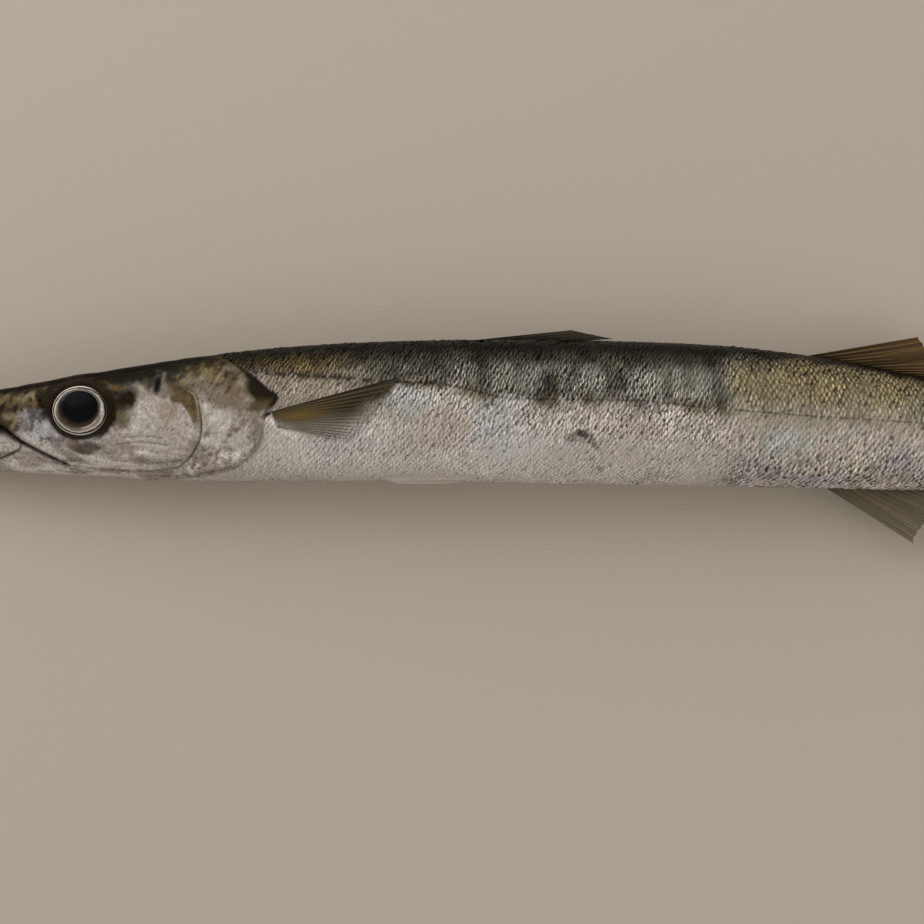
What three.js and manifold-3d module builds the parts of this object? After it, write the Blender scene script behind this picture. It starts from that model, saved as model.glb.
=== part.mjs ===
// A whole barracuda, a long silver sea fish, lying at rest on its right flank, life size, in millimetres.
// X runs from the jaws to the tail, Y from the belly to the back and Z up through the left flank.
// The origin is on the floor, under the flat of the flank that carries the fish.
import * as THREE from "three";
import { mergeVertices } from "three/addons/utils/BufferGeometryUtils.js";
import Module from "manifold-3d";

const wasm = await Module();
wasm.setup();

// The clearance between touching pieces.
const GAP = 0.3;

// The body's lines: where each section stands, its back and belly edges, half its thickness and the
// height of its middle above the floor. The flank is pressed flat where it would pass the floor.
const LINES = [
  { x: -312.8, back: -2.7, belly: -5.6, half: 2.6, height: 15.5 },
  { x: -307.8, back: 1.1, belly: -11.7, half: 4.8, height: 15.7 },
  { x: -297.0, back: 3.6, belly: -18.2, half: 7.0, height: 16.0 },
  { x: -279.0, back: 7.0, belly: -22.5, half: 9.2, height: 17.2 },
  { x: -252.0, back: 11.7, belly: -25.4, half: 12.2, height: 18.6 },
  { x: -216.0, back: 17.8, belly: -27.2, half: 16.2, height: 20.6 },
  { x: -180.0, back: 23.6, belly: -29.2, half: 19.5, height: 21.5 },
  { x: -139.5, back: 28.8, belly: -29.8, half: 21.8, height: 21.9 },
  { x: -94.5, back: 32.0, belly: -29.5, half: 22.8, height: 24.2 },
  { x: -49.5, back: 33.3, belly: -29.9, half: 24.2, height: 23.9 },
  { x: 18.0, back: 33.0, belly: -31.0, half: 25.0, height: 23.5 },
  { x: 72.0, back: 30.8, belly: -31.7, half: 24.0, height: 22.8 },
  { x: 108.0, back: 27.0, belly: -32.4, half: 22.3, height: 21.6 },
  { x: 163.8, back: 17.1, belly: -33.4, half: 18.5, height: 18.7 },
  { x: 198.0, back: 9.2, belly: -31.7, half: 14.5, height: 15.5 },
  { x: 225.0, back: 2.7, belly: -28.8, half: 10.5, height: 12.2 },
  { x: 247.5, back: -2.3, belly: -26.4, half: 6.6, height: 9.6 },
  { x: 256.5, back: -2.9, belly: -26.8, half: 3.6, height: 9.0 },
  { x: 258.5, back: -4.2, belly: -25.4, half: 2.0, height: 8.9 },
];

const JAW_TIP_X = LINES[0].x;
const TAIL_BASE_X = LINES.at(-1).x;
const HEAD_END_X = -139.5;

// How square a section is, and how much wider it is towards the back: the skull is boxy and flat-topped.
const HEAD_SQUARENESS = 2.7;
const BODY_SQUARENESS = 2.15;
const HEAD_CROWN_WIDTH = 0.2;
const BODY_CROWN_WIDTH = 0.04;

// Where the body is divided: behind the gill covers, then across the trunk and before the tail stem.
const TRUNK_CUTS = [-28, 92, 190];

// The head's landmarks.
const UPPER_JAW_TIP_X = -307.8;
const GAPE = [
  [-330, -1.9], [-307, -1.9], [-295, -1.7], [-278, -2], [-263, -3.1], [-249.8, -5.6],
  [-240.8, -11.9], [-227.5, -19], [-219.8, -22.5],
];
const JAW_HINGE = [[-211.5, -33], [-211.5, -60], [-330, -60]];
const GAPE_WIDTH = 0.9;
const LIP_HEIGHT = 0.7;
const LIP_WIDTH = 2.6;
const EYE = { x: -212.8, y: 1.5, across: 12.8, along: 11, deep: 5.5, proud: 3.2, lean: 6 };
const PUPIL = { x: -212.7, y: 3.2, across: 8.7, along: 7, deep: 1.8 };
const ORBIT_RIM = { height: 0.7, width: 3.2 };
const NOSTRILS = [{ x: -235.8, y: 6.3, long: 1.5, wide: 1.0 }, { x: -231.1, y: 5.8, long: 1.1, wide: 1.6 }];
const NOSTRIL_DEPTH = 1.6;

// The gill cover: its free rear margin, its front edge on the cheek, and its plate.
const GILL_MARGIN = [
  [-146, 22.9], [-136.1, 16.5], [-129.3, 10.6], [-124.8, 6.7], [-129.6, 0.2], [-131.3, -5.5],
  [-132.5, -11.6], [-137.3, -18.6], [-145.8, -23.9], [-162.9, -27.4],
];
const CHEEK_EDGE = [
  [-171.5, -24.4], [-163.5, -18], [-159.1, -9.4], [-158.9, -0.6], [-160.8, 8.2], [-165, 11], [-170.5, 13.4],
  [-174.5, 18.5],
];
const COVER_THICKNESS = 3;
const COVER_RISE = 0.8;
const COVER_CORNER = 5;
const COVER_SPAN = [-200, -110];
const COVER_FROM_MIDDLE = 3.5;

// A soft or spiny fin: membrane and rays at the root and at the tip.
const MEMBRANE = { root: 0.8, tip: 0.5 };
const RAY = { root: 1.5, tip: 0.7 };
const ROOT_SINK = 3;
const EDGE_SINK = 0.6;

const rad = (degrees) => (degrees * Math.PI) / 180;
const mix = (a, b, t) => a + (b - a) * t;
const smooth = (a, b, x) => {
  const t = Math.min(Math.max((x - a) / (b - a), 0), 1);
  return t * t * (3 - 2 * t);
};
const signedPower = (value, power) => Math.sign(value) * Math.abs(value) ** power;

// A smooth line through one column of the body's lines: cubic pieces with the mean slope at each station.
function along(key) {
  const count = LINES.length;
  const slope = (i) => (LINES[i + 1][key] - LINES[i][key]) / (LINES[i + 1].x - LINES[i].x);
  const tangent = (i) => {
    if (i === 0) return slope(0);
    if (i === count - 1) return slope(count - 2);
    const [before, after] = [slope(i - 1), slope(i)];
    const spans = [LINES[i].x - LINES[i - 1].x, LINES[i + 1].x - LINES[i].x];
    return (before * spans[1] + after * spans[0]) / (spans[0] + spans[1]);
  };
  return (x) => {
    const held = Math.min(Math.max(x, JAW_TIP_X), TAIL_BASE_X);
    const i = Math.min(LINES.findLastIndex((line) => line.x <= held), count - 2);
    const span = LINES[i + 1].x - LINES[i].x;
    const t = (held - LINES[i].x) / span;
    const [t2, t3] = [t * t, t * t * t];
    return (
      (2 * t3 - 3 * t2 + 1) * LINES[i][key] +
      (t3 - 2 * t2 + t) * span * tangent(i) +
      (3 * t2 - 2 * t3) * LINES[i + 1][key] +
      (t3 - t2) * span * tangent(i + 1)
    );
  };
}

const backAt = along("back");
const bellyAt = along("belly");
const halfAt = along("half");
const heightAt = along("height");

// One cross-section: its middle, its half height from belly to back, half thickness and shape.
function section(x) {
  const trunk = smooth(HEAD_END_X - 50, HEAD_END_X + 20, x);
  return {
    y: (backAt(x) + bellyAt(x)) / 2,
    deep: (backAt(x) - bellyAt(x)) / 2,
    z: heightAt(x),
    half: halfAt(x),
    squareness: mix(HEAD_SQUARENESS, BODY_SQUARENESS, trunk),
    crown: mix(HEAD_CROWN_WIDTH, BODY_CROWN_WIDTH, trunk),
  };
}

// Half the body's thickness at a point of the side view, before the floor flattens it.
function halfThickness(x, y) {
  const s = section(x);
  const rise = Math.min(Math.max((y - s.y) / s.deep, -1), 1);
  return s.half * (1 + s.crown * rise) * (1 - Math.abs(rise) ** s.squareness) ** (1 / s.squareness);
}

// The distance from a point to an open line of points, in the side view.
function distanceTo(line, x, y) {
  let least = Infinity;
  for (let i = 1; i < line.length; i++) {
    const [ax, ay] = line[i - 1];
    const [dx, dy] = [line[i][0] - ax, line[i][1] - ay];
    const t = Math.min(Math.max(((x - ax) * dx + (y - ay) * dy) / (dx * dx + dy * dy), 0), 1);
    least = Math.min(least, Math.hypot(x - ax - t * dx, y - ay - t * dy));
  }
  return least;
}

// What stands proud of the head's plain form: the lips along the gape and the rim round each eye.
function relief(x, y) {
  const lip = LIP_HEIGHT * Math.exp(-((distanceTo(GAPE, x, y) / LIP_WIDTH) ** 2));
  const ring = Math.hypot((x - EYE.x) / EYE.across, (y - EYE.y) / EYE.along) - 1.1;
  const rim = ORBIT_RIM.height * Math.exp(-(((ring * EYE.across) / ORBIT_RIM.width) ** 2));
  return lip + rim;
}

// A geometry's closed mesh as a solid that can be joined and cut.
function solid(geometry) {
  const bare = geometry.clone();
  bare.deleteAttribute("normal");
  bare.deleteAttribute("uv");
  const merged = mergeVertices(bare, 1e-4);
  return new wasm.Manifold(
    new wasm.Mesh({
      numProp: 3,
      vertProperties: new Float32Array(merged.attributes.position.array),
      triVerts: new Uint32Array(merged.index.array),
    }),
  );
}

// The largest body of a solid, as a geometry.
function geometryOf(shape) {
  const largest = shape.decompose().reduce((a, b) => (a.volume() > b.volume() ? a : b));
  const mesh = largest.getMesh();
  const position = new THREE.BufferAttribute(new Float32Array(mesh.vertProperties), 3);
  const geometry = new THREE.BufferGeometry().setAttribute("position", position);
  return geometry.setIndex(new THREE.BufferAttribute(new Uint32Array(mesh.triVerts), 1));
}

// A closed mesh from rings of points, each joined to the next, with both ends capped by a fan.
function ringSolid(rings) {
  const around = rings[0].length;
  const points = rings.flat();
  const faces = [];
  for (let i = 0; i + 1 < rings.length; i++) {
    for (let j = 0; j < around; j++) {
      const k = (j + 1) % around;
      const [a, b, c, d] = [i * around + j, i * around + k, (i + 1) * around + j, (i + 1) * around + k];
      faces.push(a, b, c, b, d, c);
    }
  }
  const middle = (ring) => ring.reduce((sum, p) => sum.add(p), new THREE.Vector3()).divideScalar(around);
  const [first, last] = [points.length, points.length + 1];
  points.push(middle(rings[0]), middle(rings.at(-1)));
  const end = (rings.length - 1) * around;
  for (let j = 0; j < around; j++) {
    const k = (j + 1) % around;
    faces.push(first, k, j, last, end + j, end + k);
  }
  const geometry = new THREE.BufferGeometry().setFromPoints(points);
  return solid(geometry.setIndex(faces));
}

// A length of the body between two stations. Grow swells it evenly, and a wanted relief is added.
function bodyLength(from, to, { step = 10, around = 28, grow = 0, withRelief = false, floor = 0 } = {}) {
  const count = Math.max(1, Math.round((to - from) / step));
  const rings = [];
  for (let i = 0; i <= count; i++) {
    const x = mix(from, to, i / count);
    const s = section(x);
    const ring = [];
    for (let j = 0; j < around; j++) {
      const angle = (2 * Math.PI * j) / around;
      const rise = signedPower(Math.cos(angle), 2 / s.squareness);
      const out = signedPower(Math.sin(angle), 2 / s.squareness);
      const y = s.y + s.deep * rise;
      const normal = new THREE.Vector2(
        signedPower(rise, s.squareness - 1) / s.deep,
        signedPower(out, s.squareness - 1) / s.half,
      ).normalize();
      const swell = grow + (withRelief ? relief(x, y) : 0);
      const z = s.z + s.half * (1 + s.crown * rise) * out + swell * normal.y;
      ring.push(new THREE.Vector3(x, y + swell * normal.x, Math.max(z, floor)));
    }
    rings.push(ring);
  }
  return ringSolid(rings);
}

// A straight prism through the whole fish, or through one side, over a closed outline of the side view.
function prism(outline, low = -20, high = 80) {
  const shape = new THREE.Shape(outline.map(([x, y]) => new THREE.Vector2(x, y)));
  const geometry = new THREE.ExtrudeGeometry(shape, { depth: high - low, bevelEnabled: false });
  return solid(geometry.translate(0, 0, low));
}

// A few points made a smooth line of more points.
function smoothed(points, divisions) {
  const line = new THREE.SplineCurve(points.map(([x, y]) => new THREE.Vector2(x, y)));
  return line.getPoints(divisions).map((p) => [p.x, p.y]);
}

// A line moved sideways by a distance, to the left of the way it runs.
function moved(line, distance) {
  const leftOf = (i) => {
    const [[ax, ay], [bx, by]] = [line[i], line[i + 1]];
    return new THREE.Vector2(ay - by, bx - ax).normalize();
  };
  return line.map(([x, y], i) => {
    const before = leftOf(Math.max(i - 1, 0));
    const after = leftOf(Math.min(i, line.length - 2));
    const reach = distance / (1 + before.dot(after));
    return [x + (before.x + after.x) * reach, y + (before.y + after.y) * reach];
  });
}

// An ellipsoid with its middle at a point, turned about the Y axis by some degrees.
function ellipsoid(middle, radii, { rings = 12, around = 24, lean = 0 } = {}) {
  const geometry = new THREE.SphereGeometry(1, around, rings).rotateX(Math.PI / 2).scale(...radii);
  return solid(geometry.rotateY(rad(lean)).translate(...middle));
}

// Which way a side faces: the left flank looks up and the right flank down to the floor.
const SIDES = { left: 1, right: -1 };

// A fin made of rays and the thin membrane between them, thicker along each ray on both faces.
// place(u, v) gives the middle of the fin: u runs from its first ray to its last, v from root to tip.
// facing(u, v) is the way its left face looks.
function fin({ rays, steps, place, facing = () => new THREE.Vector3(0, 0, 1), membrane = MEMBRANE, ray = RAY }) {
  const across = 2 * rays - 1;
  const faces = [];
  const grid = [];
  for (let i = 0; i < across; i++) {
    for (let j = 0; j <= steps; j++) {
      const [u, v] = [i / (across - 1), j / steps];
      const part = i % 2 ? membrane : ray;
      grid.push({ point: place(u, v, i % 2 === 1), half: mix(part.root, part.tip, v) / 2, way: facing(u, v) });
    }
  }
  const points = [1, -1].flatMap((side) => grid.map((g) => g.point.clone().addScaledVector(g.way, side * g.half)));
  const at = (i, j, side) => (side > 0 ? 0 : grid.length) + i * (steps + 1) + j;
  for (let i = 0; i + 1 < across; i++) {
    for (let j = 0; j < steps; j++) {
      for (const side of [1, -1]) {
        const [a, b, c, d] = [at(i, j, side), at(i + 1, j, side), at(i, j + 1, side), at(i + 1, j + 1, side)];
        faces.push(...(side > 0 ? [a, b, d, a, d, c] : [a, d, b, a, c, d]));
      }
    }
  }
  const edge = [];
  for (let i = 0; i + 1 < across; i++) edge.push([i, 0]);
  for (let j = 0; j < steps; j++) edge.push([across - 1, j]);
  for (let i = across - 1; i > 0; i--) edge.push([i, steps]);
  for (let j = steps; j > 0; j--) edge.push([0, j]);
  edge.forEach(([i, j], n) => {
    const [k, l] = edge[(n + 1) % edge.length];
    faces.push(at(i, j, -1), at(k, l, -1), at(k, l, 1), at(i, j, -1), at(k, l, 1), at(i, j, 1));
  });
  const made = solid(new THREE.BufferGeometry().setFromPoints(points).setIndex(faces));
  return made.volume() < 0 ? solid(new THREE.BufferGeometry().setFromPoints(points).setIndex(faces.reverse())) : made;
}

const SKIN = {
  silver: new THREE.MeshStandardMaterial({ color: "#a0988f", roughness: 0.35, metalness: 0.2 }),
  fin: new THREE.MeshStandardMaterial({ color: "#3d3422", roughness: 0.5, metalness: 0 }),
  iris: new THREE.MeshStandardMaterial({ color: "#b0a590", roughness: 0.15, metalness: 0.3 }),
  pupil: new THREE.MeshStandardMaterial({ color: "#121416", roughness: 0.05, metalness: 0 }),
};

const fish = new THREE.Group();

function add(name, shape, material) {
  const mesh = new THREE.Mesh(geometryOf(shape), material);
  mesh.name = name;
  fish.add(mesh);
}

// The regions of the side view that part the head from the trunk, the jaw and the gill covers.
const gillMargin = smoothed(GILL_MARGIN, 26);
const cheekEdge = smoothed(CHEEK_EDGE, 16);
const gape = smoothed(GAPE, 24);
const headRegion = (distance) => [
  [-340, 60], [-150, 60], ...moved(gillMargin, distance), [-182, -60], [-340, -60],
];
const coverOutline = new wasm.CrossSection([[...gillMargin, ...cheekEdge]], "EvenOdd");
const coverPrism = (distance, low, high) =>
  coverOutline.offset(-COVER_CORNER, "Round").offset(COVER_CORNER + distance, "Round")
    .extrude(high - low).translate(0, 0, low);
const jawRegion = (distance) => [...moved(gape, distance), ...moved(JAW_HINGE, distance)];
const upperTipRegion = [
  [-330, -1.9], [-309, -1.9], [UPPER_JAW_TIP_X, 0.2], [UPPER_JAW_TIP_X + 2.2, 3], [-303, 6], [-303, 30], [-330, 30],
];

// The whole head, with its eye sockets, nostrils and the gape left open between the jaws.
const headForm = bodyLength(JAW_TIP_X, -110, { step: 5.5, around: 32, withRelief: true });
const wholeHead = headForm.intersect(prism(headRegion(0)));
const coverCore = bodyLength(...COVER_SPAN, { step: 9, around: 24, grow: -COVER_THICKNESS });
const coverCoreClear = bodyLength(...COVER_SPAN, { step: 9, around: 24, grow: -COVER_THICKNESS - GAP });
const coverOuter = bodyLength(...COVER_SPAN, { step: 6, grow: COVER_RISE });

const headHeight = section(EYE.x).z;
const eyeHeight = halfThickness(EYE.x, EYE.y) + EYE.proud - EYE.deep;
let head = wholeHead.subtract(prism(jawRegion(GAPE_WIDTH / 2))).subtract(prism(upperTipRegion));
const jaw = wholeHead.intersect(prism(jawRegion(-GAPE_WIDTH / 2)));

for (const [side, up] of Object.entries(SIDES)) {
  const start = headHeight + up * COVER_FROM_MIDDLE;
  const reach = up > 0 ? [start, 80] : [-20, start];
  const clearReach = up > 0 ? [start - GAP, 80] : [-20, start + GAP];
  const cover = coverOuter.subtract(coverCore).intersect(coverPrism(0, ...reach));
  const coverRoom = bodyLength(...COVER_SPAN, { around: 24, grow: 4 }).subtract(coverCoreClear);
  head = head.subtract(coverRoom.intersect(coverPrism(GAP, ...clearReach)));
  add(`gill_cover_${side}`, cover, SKIN.silver);

  const middle = [EYE.x, EYE.y, headHeight + up * eyeHeight];
  const lens = (swell) => ellipsoid(
    middle,
    [EYE.across, EYE.along, EYE.deep].map((radius) => radius + swell),
    { rings: 10, around: 28, lean: -up * EYE.lean },
  );
  const pupilPrism = (swell) => {
    const geometry = new THREE.CylinderGeometry(1, 1, 20, 24).rotateX(Math.PI / 2);
    geometry.scale(PUPIL.across + swell, PUPIL.along + swell, 1);
    const low = EYE.deep - PUPIL.deep - swell;
    return solid(geometry.translate(PUPIL.x, PUPIL.y, middle[2] + up * (low + 10)));
  };
  add(`eye_${side}`, lens(0).subtract(pupilPrism(GAP)), SKIN.iris);
  add(`pupil_${side}`, lens(0).intersect(pupilPrism(0)), SKIN.pupil);
  head = head.subtract(lens(GAP));
  for (const n of NOSTRILS) {
    const z = section(n.x).z + up * (halfThickness(n.x, n.y) + relief(n.x, n.y));
    head = head.subtract(ellipsoid([n.x, n.y, z], [n.long, n.wide, NOSTRIL_DEPTH], { rings: 6, around: 10 }));
  }
}
add("head", head, SKIN.silver);
add("lower_jaw", jaw, SKIN.silver);

// The trunk in three lengths and the tail stem, parted by thin cuts.
const behindGills = (distance) => prism([
  [-150, 60], [300, 60], [300, -60], [-182, -60], ...moved(gillMargin, distance).reverse(),
]);
const cuts = [-190, ...TRUNK_CUTS, TAIL_BASE_X];
["body_front", "body_middle", "body_rear", "tail_stem"].forEach((name, i) => {
  const from = cuts[i] + (i ? GAP / 2 : 0);
  const to = cuts[i + 1] - (i < 3 ? GAP / 2 : 0);
  let length = bodyLength(from, to);
  if (i === 0) length = length.intersect(behindGills(GAP));
  add(name, length, SKIN.silver);
});

// The form that every fin is cut clear of.
const clearBody = bodyLength(-160, TAIL_BASE_X + 0.3, { step: 8, around: 36, grow: GAP + 0.3, floor: -5 });
const rooted = (shape) => shape.subtract(clearBody);

// A fin in the fish's middle plane, on the back (way 1) or the belly (way -1): its rays lean back, from
// the first one to the last, and it droops towards the floor at its tips.
function medianFin({ from, to, way, rays, lean, length, droop, steps = 5, notch = 0.015, ...finish }) {
  const edgeAt = way > 0 ? backAt : bellyAt;
  const place = (u, v, between) => {
    const x = mix(from, to, u);
    const slope = Math.atan2(edgeAt(x + 1) - edgeAt(x - 1), 2);
    const turn = slope + way * rad(lean(u));
    const reach = length(u) * v * (between ? 1 - notch * v : 1) - ROOT_SINK * (1 - v);
    return new THREE.Vector3(
      x + Math.cos(turn) * reach,
      edgeAt(x) - way * EDGE_SINK + Math.sin(turn) * reach,
      heightAt(x) - droop * Math.max(reach, 0) ** 2 / 1000,
    );
  };
  return rooted(fin({ rays, steps, place, ...finish }));
}

add("dorsal_fin_first", medianFin({
  from: -46, to: 2, way: 1, rays: 5, notch: 0.12, droop: 1.2,
  lean: (u) => mix(5.5, 5, u),
  length: (u) => mix(52, 22, u),
  ray: { root: 2.2, tip: 0.8 },
}), SKIN.fin);

add("dorsal_fin_second", medianFin({
  from: 109, to: 160, way: 1, rays: 10, droop: 1.5,
  lean: (u) => mix(17.5, 9, u),
  length: (u) => mix(55, 18, u) + 6 * smooth(0.8, 1, u),
}), SKIN.fin);

add("anal_fin", medianFin({
  from: 119, to: 165, way: -1, rays: 10, droop: 2.2,
  lean: (u) => mix(30, 14, u),
  length: (u) => mix(50, 16, u ** 0.8) + 6 * smooth(0.8, 1, u),
}), SKIN.fin);

// The forked tail fin, each lobe a fan of rays from the tail stem down to the floor.
const TAIL_FIN = { root: 254.5, turn: -3, inner: 2.5, outer: 26, short: 32, long: 97, height: 8.6 };
for (const [name, way] of [["tail_fin_upper", 1], ["tail_fin_lower", -1]]) {
  const middle = section(TAIL_FIN.root);
  const place = (u, v, between) => {
    const turn = rad(TAIL_FIN.turn + way * mix(TAIL_FIN.inner, TAIL_FIN.outer, u));
    const length = mix(TAIL_FIN.short, TAIL_FIN.long, u ** 1.7) * (between ? 1 - 0.015 * v : 1);
    const reach = length * v - 6 * (1 - v);
    const fall = (TAIL_FIN.height - 0.6) * smooth(-20, 88, reach);
    return new THREE.Vector3(
      TAIL_FIN.root + Math.cos(turn) * reach,
      middle.y + way * mix(0.5, middle.deep - 1.2, u) + Math.sin(turn) * reach,
      middle.z - fall,
    );
  };
  const lobe = fin({ rays: 9, steps: 6, place, ray: { root: 3.4, tip: 0.8 }, membrane: { root: 2.6, tip: 0.5 } });
  add(name, rooted(lobe), SKIN.fin);
}

// The pectoral fins lie back against the flanks. The left one follows the flank's curve, and the right
// one lies between the flank and the floor.
const PECTORAL = { root: [-128.7, 0.4], rootEnd: [-125.5, -6], top: 15, bottom: -12, long: 60, short: 33 };
for (const [side, up] of Object.entries(SIDES)) {
  const place = (u, v, between) => {
    const turn = rad(mix(PECTORAL.top, PECTORAL.bottom, u));
    const length = mix(PECTORAL.long, PECTORAL.short, u ** 0.8) * (between ? 1 - 0.015 * v : 1);
    const reach = length * v - 2 * (1 - v);
    const x = mix(PECTORAL.root[0], PECTORAL.rootEnd[0], u) + Math.cos(turn) * reach;
    const y = mix(PECTORAL.root[1], PECTORAL.rootEnd[1], u) + Math.sin(turn) * reach;
    const sunk = -2.2 * (1 - smooth(0, 0.2, v));
    const flank = section(x).z + up * (halfThickness(x, y) + 1.25 + 0.7 * v + sunk);
    const onFloor = mix(flank, RAY.tip / 2 + 0.05, smooth(0.02, 0.14, v));
    return new THREE.Vector3(x, y, up > 0 ? flank : Math.max(onFloor, 0.82));
  };
  const thin = { root: 1.3, tip: 0.6 };
  add(`pectoral_fin_${side}`, rooted(fin({ rays: 11, steps: 6, place, ray: thin })), SKIN.fin);
}

// The pelvic fins fold back flat against the belly, one on each side of its keel.
const PELVIC = { x: -82, spread: [9.5, 4], long: 44, short: 26, lie: 1.4 };
for (const [side, up] of Object.entries(SIDES)) {
  const at = (u, v, between) => {
    const length = mix(PELVIC.long, PELVIC.short, u) * (between ? 1 - 0.015 * v : 1);
    const reach = length * v - ROOT_SINK * (1 - v);
    const x = PELVIC.x + mix(0, 5, u) + reach;
    const out = mix(...PELVIC.spread, u) + mix(2.5, -1, u) * v;
    const s = section(x);
    const rise = (1 - (out / s.half) ** s.squareness) ** (1 / s.squareness);
    const power = s.squareness - 1;
    const outward = new THREE.Vector3(0, -(rise ** power) / s.deep, (up * (out / s.half) ** power) / s.half);
    return { point: new THREE.Vector3(x, s.y - s.deep * rise, s.z + up * out), outward: outward.normalize() };
  };
  const place = (u, v, between) => {
    const { point, outward } = at(u, v, between);
    return point.addScaledVector(outward, PELVIC.lie - 2.4 * (1 - smooth(0, 0.2, v)));
  };
  const facing = (u, v) => at(u, v, false).outward;
  add(`pelvic_fin_${side}`, rooted(fin({ rays: 6, steps: 5, place, facing })), SKIN.fin);
}

export default fish;
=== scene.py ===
"""A whole barracuda lying on its right flank on a plain floor, dressed over its CAD solids.

X runs from the jaws to the tail, Y from the belly to the back and Z up through the left flank.
Every size below is in millimetres and is turned into metres when a mesh, a light or the camera is made.
"""

from types import SimpleNamespace

import bpy
import numpy as np
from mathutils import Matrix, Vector


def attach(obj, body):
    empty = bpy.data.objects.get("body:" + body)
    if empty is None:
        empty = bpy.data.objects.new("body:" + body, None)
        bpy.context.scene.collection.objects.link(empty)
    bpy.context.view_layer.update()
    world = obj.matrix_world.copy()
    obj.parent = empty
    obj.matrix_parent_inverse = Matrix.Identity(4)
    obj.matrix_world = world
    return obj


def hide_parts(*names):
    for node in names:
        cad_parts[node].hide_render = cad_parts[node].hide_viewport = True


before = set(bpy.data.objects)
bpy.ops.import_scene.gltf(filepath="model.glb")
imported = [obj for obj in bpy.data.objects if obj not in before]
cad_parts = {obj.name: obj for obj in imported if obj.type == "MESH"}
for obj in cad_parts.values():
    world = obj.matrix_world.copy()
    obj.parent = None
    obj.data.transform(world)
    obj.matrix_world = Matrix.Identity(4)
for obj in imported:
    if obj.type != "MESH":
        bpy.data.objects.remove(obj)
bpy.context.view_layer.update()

MM = 0.001
SEED = 7

# The body's lines: x, back edge, belly edge, half the thickness, and the middle's height above the floor.
LINES = np.array([
    (-312.8, -2.7, -5.6, 2.6, 15.5),
    (-307.8, 1.1, -11.7, 4.8, 15.7),
    (-297.0, 3.6, -18.2, 7.0, 16.0),
    (-279.0, 7.0, -22.5, 9.2, 17.2),
    (-252.0, 11.7, -25.4, 12.2, 18.6),
    (-216.0, 17.8, -27.2, 16.2, 20.6),
    (-180.0, 23.6, -29.2, 19.5, 21.5),
    (-139.5, 28.8, -29.8, 21.8, 21.9),
    (-94.5, 32.0, -29.5, 22.8, 24.2),
    (-49.5, 33.3, -29.9, 24.2, 23.9),
    (18.0, 33.0, -31.0, 25.0, 23.5),
    (72.0, 30.8, -31.7, 24.0, 22.8),
    (108.0, 27.0, -32.4, 22.3, 21.6),
    (163.8, 17.1, -33.4, 18.5, 18.7),
    (198.0, 9.2, -31.7, 14.5, 15.5),
    (225.0, 2.7, -28.8, 10.5, 12.2),
    (247.5, -2.3, -26.4, 6.6, 9.6),
    (256.5, -2.9, -26.8, 3.6, 9.0),
    (258.5, -4.2, -25.4, 2.0, 8.9),
])
JAW_TIP_X = LINES[0, 0]
TAIL_BASE_X = LINES[-1, 0]
HEAD_END_X = -139.5

# The head's markings are laid over the trunk's in front of this place.
HEAD_PAINT_END_X = -112.0

# How square a section is, and how much wider it is towards the back: the skull is boxy and flat-topped.
HEAD_SQUARENESS = 2.7
BODY_SQUARENESS = 2.15
HEAD_CROWN_WIDTH = 0.2
BODY_CROWN_WIDTH = 0.04

# The head's landmarks in the side view, as x and y. A nostril also has its radius.
GAPE = [
    (-330, -1.9), (-307, -1.9), (-295, -1.7), (-278, -2), (-263, -3.1), (-249.8, -5.6),
    (-240.8, -11.9), (-227.5, -19), (-219.8, -22.5),
]
LIP_FOLD = [(-240.4, -12.6), (-240.7, -14.2), (-241.5, -15.6), (-245, -17.4), (-250, -19.4), (-258, -20.6)]
EYE = {"x": -212.8, "y": 1.5, "across": 12.8, "along": 11.0}
PUPIL = {"x": -212.7, "y": 3.2, "across": 8.7, "along": 7.0}
NOSTRILS = [(-235.8, 6.3, 1.1), (-231.1, 5.8, 0.8)]
CHEEK_EDGE = [
    (-177, 21.5), (-174.5, 18.5), (-170.5, 13.4), (-165, 11), (-160.8, 8.2), (-158.9, -0.6),
    (-159.1, -9.4), (-163.5, -18), (-171.5, -24.4), (-178, -26.5),
]
GILL_MARGIN = [
    (-151, 25.6), (-146, 22.9), (-136.1, 16.5), (-129.3, 10.6), (-124.8, 6.7), (-129.6, 0.2),
    (-131.3, -5.5), (-132.5, -11.6), (-137.3, -18.6), (-145.8, -23.9), (-162.9, -27.4), (-186, -29.5),
]
COVER_RISE = 0.8

# Fine folds of the cheek and the throat, as lines in the side view.
WRINKLES = [
    [(-226, -21.5), (-208, -24.2), (-186, -25.2), (-168, -23.2)],
    [(-202, -20.0), (-184, -21.8), (-168, -20.4)],
    [(-197, -13.4), (-186, -12.4), (-174, -13.8)],
    [(-194, -10.4), (-184, -9.8), (-176, -10.6)],
    [(-178, -27.4), (-160, -26.0), (-146, -22.8)],
    [(-248, -8.0), (-236, -14.0), (-224, -20.0)],
    [(-132.5, 1.0), (-134.5, -7.0), (-135.0, -13.0)],
]

# The lateral line, as x and y.
LATERAL_LINE = np.array([
    (-150, 20.6), (-131.9, 17.9), (-101.7, 15.9), (-79.8, 14.1), (-53.7, 13), (-40.6, 10.6), (-30, 7.4),
    (-18.1, 6.2), (33.2, 5.6), (64.6, 2.2), (110, -1.2), (159.6, -4.0), (210, -8.6), (258.5, -14.6),
])


# Small helpers for numbers and colours.

# The noise repeats after this many lumps.
NOISE_CELLS = 32


def smooth(a, b, x):
    """0 below a, 1 above b, and the soft step 3t² - 2t³ between."""
    t = np.clip((x - a) / (b - a), 0, 1)
    return t * t * (3 - 2 * t)


def mix(a, b, t):
    return a + (b - a) * t


def signed_power(value, power):
    return np.sign(value) * np.abs(value) ** power


def linear(hex_text):
    """The linear colour of an sRGB hex text."""
    srgb = np.array([int(hex_text[i:i + 2], 16) for i in (1, 3, 5)]) / 255
    return np.where(srgb <= 0.04045, srgb / 12.92, ((srgb + 0.055) / 1.055) ** 2.4)


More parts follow.
